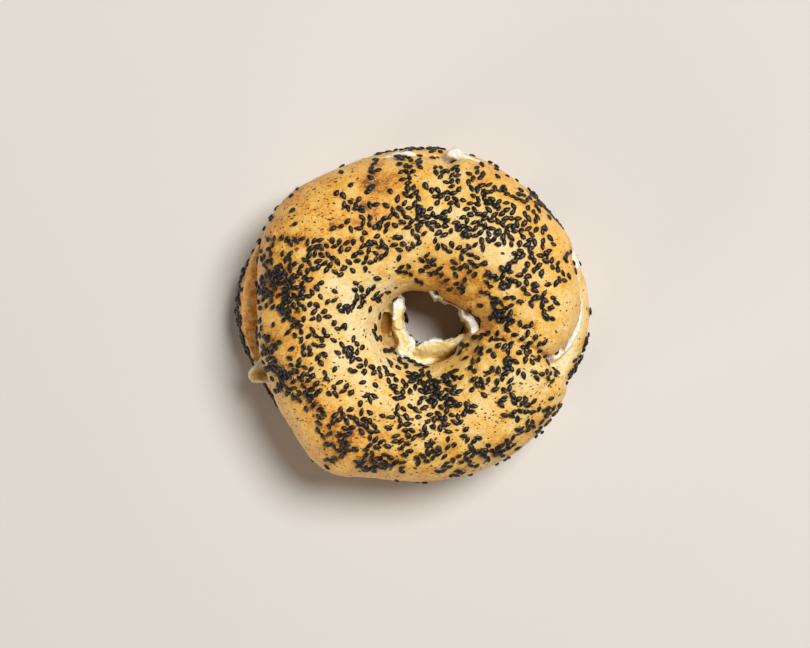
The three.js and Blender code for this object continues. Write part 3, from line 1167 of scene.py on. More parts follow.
LOWER = BreadHalf(
    name="lower_half",
    node="bottom_half",
    slot="lower_bread",
    side=Side.DOWN,
    ring=Ring(
        hole=Outline(
            (6.5, 0.4), 11.6, bumps((75, 0.9, 40), (-150, 0.4, 30), (146, 1.3, 10), (187, -2.0, 9))
        ),
        rim=Outline(
            (0, 0), 56.8, bumps((178, 4.1, 26, 13), (1, 3.3, 12, 24), (64, 1.6, 14), (-140, -0.8, 20))
        ),
    ),
    cut=20.0,
    equator=-8.5,
    crown=12.8,
    squareness=2.3,
    curl=27,
    lean=7,
    relief=spots((-57, 8, 8, 0.5), (57, -8, 8, 0.5), (10, 57, 9, 0.4), (-30, -48, 10, -0.5)),
    tones=spots((-58, 5, 7, 0.2), (58, -4, 16, -0.4), (-35, 0, 30, 0.18), (35, 0, 30, 0.18)),
    flecks=spots((57, -15, 9, 0.3), (-57, 0, 14, 0.3)),
    base_tone=0.44,
    steps=Steps(360, 110, 40),
    smears=strokes((50.6, -20.5, 53.4, -13.5, 1.3, 0.9)),
)


# ---------------------------------------------------------------- the cheese


RAGGED_EDGE = Grain(2.2, 0.6, 3, 1.9)
SOUTH_LOBES = Grain(8.0, 1.0, 2, 6.4)
SPREAD_SWELLS = Grain(4.2, 0.42, 3, 2.2)
SPREAD_GRAIN = Grain(1.3, 0.2, 2, 9.1)
CHEESE_LUMPS = Wander(2.0, 0.4, (3.3, 6.6))
STAIN_AND_SHADE_DRIFT = Wander(2.0, 0.5, (4.4, 8.8))


@dataclass(frozen=True)
class CreamCheese:
    """The layer between the halves: its plan, its folds and lumps, and where it is stained or painted with
    shade.
    """

    name: str = "cheese_layer"
    node: str = "cream_cheese"
    slot: str = "cream_cheese"
    floor: float = 20.0
    ceiling: float = 23.4
    middle: float = 21.5
    thinnest: float = 0.5
    sunk: float = 0.1
    rounding: float = 1.0
    ragged_depth: float = 1.5
    lobe_reach: float = 1.3
    least_stain_and_shade: float = 0.06
    around: int = 640
    fine_step: float = 0.33
    edge_steps: tuple[float, ...] = (0.0, 0.05, 0.13, 0.24, 0.38, 0.55, 0.78)
    hole_depth: float = 13.5
    rim_depth: float = 9.0
    hidden_rows: int = 5
    ring: Ring = Ring(
        hole=Outline(
            (6.5, 0.4),
            10.9,
            bumps(
                (-88, -2.8, 17),
                (-119, 2.2, 4),
                (-4, -2.3, 12),
                (-30, 1.0, 8),
                (92, -5.6, 13),
                (66, -4.2, 14),
                (38, -5.2, 16),
                (146, 3.6, 18, 4),
                (174, -0.9, 9),
            ),
        ),
        rim=Outline(
            (0, 0),
            53.4,
            bumps(
                (94, 2.6, 5, 8),
                (76.6, 4.8, 3.0, 2.2),
                (67, 3.8, 5),
                (20, 4.5, 5),
                (0, 3.8, 8, 12),
                (-22, -5.0, 4.5),
                (177, -0.6, 16),
                (-159.0, 7.6, 3.2, 2.4),
                (-120, 1.8, 12),
                (125, 1.4, 9),
            ),
        ),
    )
    folds: tuple[Stroke | Spot, ...] = (
        *strokes(
            # west side of the hole
            (-6.7, 3.6, -6.9, -1.4, 1.0, 4.0, 0.35), (-5.2, 3.8, -5.3, -3.4, 1.9, 2.9, 0.5),
            (-6.6, -3.0, -3.8, -9.2, 1.7, 1.6, 0.7), (-8.1, -3.6, -8.5, -6.9, 0.5, 1.6, 0.25),
            (-9.9, -1.2, -9.7, -5.0, 2.0, -2.8, 0.4), (-10.4, -5.0, -8.6, -9.6, 2.6, -2.4, 0.6),
            # south side of the hole
            (-4.8, -11.2, -4.4, -12.8, 1.3, 2.2, 0.6), (-2.6, -13.4, -1.6, -14.6, 1.2, 2.0, 0.6),
            (-1.4, -11.6, 0.4, -12.6, 1.0, 1.6, 0.5), (-6.4, -10.4, -3.6, -15.8, 0.45, 1.8, 0.3),
            (-3.4, -15.9, 0.6, -16.6, 0.6, 2.9, 0.4), (2.4, -16.7, 6.4, -16.2, 0.5, 3.0, 0.35),
            (1.2, -11.4, 3.6, -8.9, 0.9, 2.4, 0.5), (3.4, -8.8, 11.8, -9.0, 0.95, 2.8, 0.45),
            (3.2, -11.2, 10.8, -10.8, 2.6, 2.5, 1.6), (11.8, -9.0, 15.9, -5.6, 0.9, 2.5, 0.5),
            (7.5, -15.8, 13.4, -12.9, 1.3, -1.6),
            # east side of the hole
            (15.6, 0.8, 19.2, -1.6, 1.8, 8.2, 0.8), (19.4, -2.0, 20.1, -5.4, 2.1, 8.0, 0.8),
            # north side of the hole
            (5.2, 7.4, 8.4, 5.8, 1.7, 8.0, 0.9), (9.4, 4.8, 14.2, 2.0, 1.0, 5.0, 0.5),
            # rim
            (12.4, 55.2, 14.0, 54.6, 2.5, 5.0, 1.2), (-8.0, 55.4, -3.0, 55.2, 0.9, 1.6, 0.5),
            (17.0, 53.6, 22.0, 52.0, 0.8, 1.6, 0.5), (44.0, -14.8, 48.4, -12.6, 1.2, 3.0, 0.5),
            (47.8, -14.9, 51.8, -12.0, 1.4, 2.6, 0.8), (51.6, -12.0, 56.2, -2.4, 1.4, 3.2, 0.8),
            (56.0, -2.2, 57.0, 4.6, 0.8, 2.8, 0.4), (51.6, -15.0, 54.0, -9.5, 0.4, 1.4, 0.25),
            (49.8, -17.5, 52.4, -13.2, 0.35, 1.1, 0.25), (52.8, 21.4, 54.8, 16.6, 1.4, 2.0, 1.0),
            (-53.4, -9.0, -53.4, 9.0, 1.8, -2.2), (-52.0, -19.5, -55.5, -21.0, 1.2, -0.8),
            (-53.5, -22.8, -57.4, -22.6, 0.6, 0.9), (-57.2, -22.4, -56.4, -19.6, 0.8, 1.4, 0.4),
        ),
        Spot(16.8, -4.4, 0.9, -2.6),
    )
    # Yellow and brown on the cheese. Round the hole these are painted shade with a warm painted reflection:
    # the gap west of the hole, the slope and the south lobe, the lobe's lower edge under the crust's lip, and
    # the recess beside the east dab. At the rim they stand for toast under thin cheese.
    stains_and_shades: tuple[Stroke, ...] = strokes(
        (-9.9, 4.2, -9.9, 2.0, 1.9, 0.4, 0.8), (-9.9, -0.8, -9.9, -4.4, 2.1, 1.0, 0.4),
        (-10.4, -5.4, -8.2, -9.6, 2.7, 0.72, 0.6), (-4.8, 1.0, -5.2, -4.0, 1.3, 0.34, 0.7),
        (-6.2, -4.0, -3.2, -9.4, 1.5, 0.34, 0.8), (-4.4, -10.4, -0.6, -14.0, 1.8, 0.22, 1.0),
        (1.2, -13.4, 10.4, -11.4, 2.4, 0.5, 1.0), (8.0, -16.2, 13.6, -12.6, 1.7, 0.85),
        (12.4, -9.4, 16.0, -6.4, 0.9, 0.3, 0.6), (16.2, -3.6, 17.0, -5.4, 1.3, 0.95, 0.5),
        (9.2, 5.2, 14.2, 2.6, 1.2, 0.12, 0.6), (49.0, -19.0, 51.0, -15.0, 1.6, 0.3),
        (-53.2, -12.0, -53.2, 12.0, 2.0, 0.75), (-50.0, -19.6, -54.6, -21.0, 2.0, 0.62, 1.0),
    )

    def shares(self, bearings: Array) -> tuple[Array, Array]:
        """Rows over the layer, close together where it shows.

        Args:
            bearings: Bearings round the ring.

        Returns:
            The shares of the way from the hole to the rim and the distances in from the nearest edge.
        """
        width = self.ring.width_at(bearings)[:, None]
        edge, first = self.edge_steps[:-1], self.edge_steps[-1]
        inner = np.concatenate([edge, np.arange(first, self.hole_depth, self.fine_step)])
        outer = np.concatenate([edge, np.arange(first, self.rim_depth, self.fine_step)])[::-1]
        between = np.linspace(0, 1, self.hidden_rows + 2)[1:-1]
        low, high = inner[-1] / width, 1 - outer[0] / width
        hidden = low + (high - low) * between
        shares = np.concatenate([inner / width, hidden, 1 - outer / width], 1)
        inset = np.minimum(shares, 1 - shares) * width
        return shares, inset

    def plan(self, bearings: Array, shares: Array, inset: Array) -> tuple[Array, Array]:
        """The layer's points in plan, with ragged edges and lobes along the south rim.

        Args:
            bearings: Bearings round the ring.
            shares: The way from the hole to the rim.
            inset: The distance in from the nearest edge.

        Returns:
            The x and y of the points.
        """
        south, south_spread, rim_from, rim_full = -95, 32, 0.7, 0.95
        x, y = self.ring.plan(bearings[:, None], shares)
        flat = level_points(x, y)
        ragged = RAGGED_EDGE.at(flat) * np.exp(-inset / self.ragged_depth)
        lobed = bell(turn(south, bearings), south_spread)[:, None] * smooth(shares, rim_from, rim_full)
        ragged = ragged + self.lobe_reach * lobed * SOUTH_LOBES.at(flat)
        away = np.radians(bearings)[:, None]
        return x + ragged * np.cos(away), y + ragged * np.sin(away)

    def height(self, x: Array, y: Array) -> Array:
        """How high the layer's top stands, before its edges are rounded.

        Args:
            x: Plan positions.
            y: Plan positions.

        Returns:
            Heights in millimetres over the table, as if the cut were level.
        """
        folds = [each.at(x, y) for each in self.folds]
        height = self.ceiling + np.maximum.reduce(folds).clip(0) + np.minimum.reduce(folds).clip(None, 0)
        flat = level_points(x, y)
        height = height + SPREAD_SWELLS.at(flat) + SPREAD_GRAIN.at(flat)
        return np.maximum(height, self.floor + self.thinnest)

    def surface(self) -> Array:
        """The layer as loops of points, over the top to the rim and back underneath.

        Returns:
            The points, with the bearing first. Two rows in three are left out underneath.
        """
        bearings = bearings_round(self.around)
        shares, inset = self.shares(bearings)
        x, y = self.plan(bearings, shares, inset)
        level = knife(x, y)
        round_edge = np.sqrt(1 - (1 - np.clip(inset / self.rounding, 0, 1)) ** 2)
        top = level + self.middle + (self.height(x, y) - self.middle) * round_edge
        under = level + self.middle - (self.middle - self.floor + self.sunk) * round_edge
        over = np.stack([x, y, top], -1)
        beneath = np.stack([x, y, under], -1)[:, -2:0:-3]
        points = np.concatenate([over, beneath], 1)
        points[..., 0], points[..., 1] = CHEESE_LUMPS.push(points, points[..., 0], points[..., 1])
        return points

    def build(self, finish: CheeseFinish) -> bpy.types.Object:
        """Makes the layer and hands it over to the frame.

        Args:
            finish: Its finish.

        Returns:
            The finished piece.
        """
        points = self.surface()
        mesh = ring_mesh(self.name, points, 1)
        # The stain value holds toast stains and painted shade.
        x, y = STAIN_AND_SHADE_DRIFT.push(points, points[..., 0], points[..., 1])
        mark(mesh, "stain_and_shade", self.least_stain_and_shade + np.maximum.reduce([each.at(x, y) for each in self.stains_and_shades]))
        piece = piece_of(self.name, mesh, finish.build())
        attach(piece, "root")
        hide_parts(self.node)
        return piece


# ---------------------------------------------------------------- the seeds


def drift(x: float, y: float, to_x: float, to_y: float, width: float = 0.8, amount: float = 1.0) -> Stroke:
    """A line or heap of seeds: its two ends, half its width and how thick they lie."""
    fringe = 0.3
    return Stroke((x, y), (to_x, to_y), fringe + width, amount)


def drifts(*rows: tuple[float, ...]) -> tuple[Stroke, ...]:
    """Lines and heaps of seeds from rows of numbers, in the order that drift takes them."""
    return tuple(drift(*row) for row in rows)


@dataclass(frozen=True)
class Seed:
    """A sesame seed: a flat drop with a blunt end and a pointed one."""

    length: float = 2.8
    width: float = 1.68
    thickness: float = 0.95
    sides: int = 8
    tips: Point = (-0.5, 0.5)
    profile: tuple[Point, ...] = ((-0.43, 0.28), (-0.17, 0.5), (0.14, 0.43), (0.38, 0.2))

    def build(self) -> bpy.types.Object:
        """Makes one seed, lying flat along X, with its middle at the origin.

        Returns:
            An object that isn't in the scene, in metres.
        """
        size = np.array([self.length, self.width, self.thickness]) * MM
        turned = np.arange(self.sides) / self.sides * 2 * np.pi
        rings = [
            [(along, radius * np.cos(t), radius * np.sin(t)) for t in turned]
            for along, radius in self.profile
        ]
        ends = [(tip, 0, 0) for tip in self.tips]
        points = np.array([p for ring in rings for p in ring] + ends) * size
        faces = []
        first, last = len(points) - 2, len(points) - 1
        top = (len(rings) - 1) * self.sides
        for k in range(self.sides):
            after = (k + 1) % self.sides
            faces.append((first, after, k))
            for low in range(0, top, self.sides):
                high = low + self.sides
                faces.append((low + k, low + after, high + after, high + k))
            faces.append((last, top + k, top + after))
        mesh = bpy.data.meshes.new("seed")
        mesh.from_pydata(points.tolist(), [], faces)
        mesh.update()
        return bpy.data.objects.new("seed", mesh)


class Draw(IntEnum):
    """Which random number of a seed is drawn. The size takes three, one for each axis."""

    LIFT = 1
    PITCH = 2
    ROLL = 3
    HEADING = 4
    SIZE = 5
    TINT = 8


class Scatter(Tree):
    """Lays copies of one seed on a surface: a bed by its vertex value cover, and heaps by its value heap."""

    INPUTS: dict[str, str] = {
        "Surface": "Geometry",
        "Seed": "Object",
        "Spacing": "Float",
        "Depth": "Float",
        "Heap Height": "Float",
        "Lift": "Float",
        "Lean": "Float",
        "Unevenness": "Float",
        "Draw": "Int",
        "Finish": "Material",
    }

    def __init__(self) -> None:
        """Builds the node tree: a bed of seeds, heaps on top of it, and real geometry at the end."""
        super().__init__(bpy.data.node_groups.new("scatter_seeds", "GeometryNodeTree"))
        face = self.tree.interface
        self.sockets = {
            name: face.new_socket(name, in_out="INPUT", socket_type=f"NodeSocket{kind}").identifier
            for name, kind in self.INPUTS.items()
        }
        face.new_socket("Seeds", in_out="OUTPUT", socket_type="NodeSocketGeometry")
        given = self.add("NodeGroupInput").outputs
        self.given = given
        closer, second_draw = 0.8, 20
        bed = self.layer("cover", given["Depth"], given["Spacing"], 0)
        top = self.math("ADD", given["Depth"], given["Heap Height"])
        heaps = self.layer("heap", top, self.math("MULTIPLY", given["Spacing"], closer), second_draw)
        both = self.add("GeometryNodeJoinGeometry", {0: heaps})
        self.feed(both.inputs[0], bed)
        real = self.add("GeometryNodeRealizeInstances", {"Geometry": both.outputs[0]}).outputs[0]
        smoothed = self.add("GeometryNodeSetShadeSmooth", {"Geometry": real}).outputs[0]
        dressed = self.add("GeometryNodeSetMaterial", {"Geometry": smoothed, "Material": given["Finish"]})
        self.add("NodeGroupOutput", {0: dressed.outputs[0]})

    def random(self, low: object, high: object, draw: object, step: int) -> Socket:
        """A random number for each seed, from its own draw."""
        number = self.math("ADD", draw, float(step))
        return self.add("FunctionNodeRandomValue", {2: low, 3: high, 8: number}, data_type="FLOAT").outputs[1]

    def attitude(self, flat: Socket, cover: Socket, draw: Socket) -> Socket:
        """How the seeds lie: any way round, and leaning more where they lie thick.

        Args:
            flat: The turn that lays them flat on the surface.
            cover: How thick they lie.
            draw: The draw of their random numbers.

        Returns:
            The turn of each.
        """
        flattest = 0.3
        share = self.math("MULTIPLY_ADD", cover, 1 - flattest, flattest)
        lean = self.math("MULTIPLY", self.given["Lean"], share)
        back = self.math("MULTIPLY", lean, -1.0)
        angles = {
            0: self.random(back, lean, draw, Draw.PITCH),
            1: self.random(back, lean, draw, Draw.ROLL),
            2: self.random(0.0, 2 * np.pi, draw, Draw.HEADING),
        }
        angles = self.add("ShaderNodeCombineXYZ", angles).outputs[0]
        local = self.add("FunctionNodeEulerToRotation", {0: angles}).outputs[0]
        turns = {0: flat, 1: local}
        return self.add("FunctionNodeRotateRotation", turns, rotation_space="LOCAL").outputs[0]

    def layer(self, thickness: str, height: object, spacing: object, step: int) -> Socket:
        """One layer of seeds.

        Args:
            thickness: The vertex value that says how thick they lie.
            height: How high over the surface their middles lie, before a random lift.
            spacing: The least distance between two of them.
            step: What is added to the draw, so that the layers differ.

        Returns:
            The seeds as instances.
        """
        given, crowding = self.given, 4.0
        draw = self.math("ADD", given["Draw"], float(step))
        cover = self.add("GeometryNodeInputNamedAttribute", {"Name": thickness}, data_type="FLOAT").outputs[0]
        points = self.add(
            "GeometryNodeDistributePointsOnFaces",
            {
                "Mesh": given["Surface"],
                "Distance Min": spacing,
                "Density Max": self.math("DIVIDE", crowding, self.math("POWER", spacing, 2.0)),
                "Density Factor": cover,
                "Seed": draw,
            },
            distribute_method="POISSON",
        ).outputs
        lift = self.random(0.0, self.math("MULTIPLY", given["Lift"], cover), draw, Draw.LIFT)
        away = {0: points["Normal"], 3: self.math("ADD", lift, height)}
        offset = self.add("ShaderNodeVectorMath", away, operation="SCALE").outputs[0]
        raised = self.add("GeometryNodeSetPosition", {"Geometry": points["Points"], "Offset": offset})
        small = self.math("SUBTRACT", 1.0, given["Unevenness"])
        large = self.math("ADD", 1.0, given["Unevenness"])
        sizes = {axis: self.random(small, large, draw, Draw.SIZE + axis) for axis in range(3)}
        copies = self.add(
            "GeometryNodeInstanceOnPoints",
            {
                "Points": raised.outputs[0],
                "Instance": self.add("GeometryNodeObjectInfo", {0: given["Seed"]}).outputs["Geometry"],
                "Rotation": self.attitude(points["Rotation"], cover, draw),
                "Scale": self.add("ShaderNodeCombineXYZ", sizes).outputs[0],
            },
        )
        return self.add(
            "GeometryNodeStoreNamedAttribute",
            {"Geometry": copies.outputs[0], "Name": "tint", "Value": self.random(0.0, 1.0, draw, Draw.TINT)},
            data_type="FLOAT",
            domain="INSTANCE",
        ).outputs[0]

    def run(self, host: bpy.types.Object, inputs: dict[str, object]) -> bpy.types.Mesh:
        """Lays the seeds on a host.

        Args:
            host: The object whose surface carries them.
            inputs: The values of the tree's inputs, by name.

        Returns:
            The seeds as one plain mesh.
        """
        modifier = host.modifiers.new("seeds", "NODES")
        modifier.node_group = self.tree
        for name, value in inputs.items():
            modifier[self.sockets[name]] = value
        graph = bpy.context.evaluated_depsgraph_get()
        mesh = bpy.data.meshes.new_from_object(host.evaluated_get(graph), depsgraph=graph)
        host.modifiers.remove(modifier)
        return mesh


CLUMPS = Grain(4.0, 1.0, 2, 5.5)
SEED_DRIFT = Wander(3.4, 1.1, (15.2, 27.8))


@dataclass(frozen=True)
class SeedCoat:
    """The seeds on one half: where they lie thick, where the crust is bare, and how they lie."""

    name: str
    node: str
    drifts: tuple[Stroke, ...]
    loose: tuple[Spot, ...]
    even: float
    lowest: float
    highest: float
    draw: int
    seed: Seed = Seed()
    spacing: float = 1.9
    sunk: float = 0.15
    heap_height: float = 0.6
    lift: float = 0.4
    lean: float = 0.36
    uneven: float = 0.16
    wall: float = 0.3
    fullest_bed: float = 0.9
    thinning: float = 2.0

    def layers(self, points: Array) -> tuple[Array, Array]:
        """How thick the seeds lie on the crust.

        Args:
            points: The crust's points.

        Returns:
            The bed and the heaps on it, from 0, none, to 1, as many as there is room for.
        """
        bed_from, bed_full, heap_from, heap_full = 0.2, 0.75, 0.8, 1.35
        sparse, clumped, clump_from, clump_full = 0.35, 1.3, -0.35, 0.5
        x, y = SEED_DRIFT.push(points, *SIGHT.plan(points))
        loose = self.even + sum(each.at(x, y) for each in self.loose)
        crowd = sparse + clumped * smooth(CLUMPS.at(points), clump_from, clump_full)
        loose = np.maximum(loose, 0) * crowd
        slope = np.clip(np.abs(grid_normals(points)[..., 2]), self.wall, 1)
        heaped = np.maximum.reduce([each.at(x, y) for each in self.drifts])
        z, thinning = points[..., 2], self.thinning
        over = smooth(z, self.lowest - thinning, self.lowest + thinning)
        level = over * (1 - smooth(z, self.highest - thinning, self.highest + thinning))
        bed = np.clip(loose + self.fullest_bed * smooth(heaped, bed_from, bed_full), 0, 1)
        heap = smooth(heaped, heap_from, heap_full)
        return bed * level * slope, heap * level * slope

    def build(self, half: BreadHalf, scatter: Scatter, finish: SeedFinish) -> bpy.types.Object:
        """Makes the seeds and hands them over to the frame.

        Args:
            half: The bread that carries them.
            scatter: What lays them.
            finish: Their finish.

        Returns:
            The finished piece.
        """
        crust = half.crust()
        mesh = ring_mesh("seed_bed", crust, half.side.value, closed=False)
        for name, values in zip(("cover", "heap"), self.layers(crust)):
            mark(mesh, name, values)
        bed = stand("seed_bed", mesh)
        one = self.seed.build()
        laid = scatter.run(
            bed,
            {
                "Seed": one,
                "Spacing": self.spacing * MM,
                "Depth": (0.5 - self.sunk) * self.seed.thickness * MM,
                "Heap Height": self.heap_height * MM,
                "Lift": self.lift * MM,
                "Lean": self.lean,
                "Unevenness": self.uneven,
                "Draw": self.draw,
                "Finish": finish.build(),
            },
        )
        bpy.data.objects.remove(bed)
        bpy.data.objects.remove(one)
        piece = stand(self.name, laid)
        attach(piece, "root")
        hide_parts(self.node)
        return piece


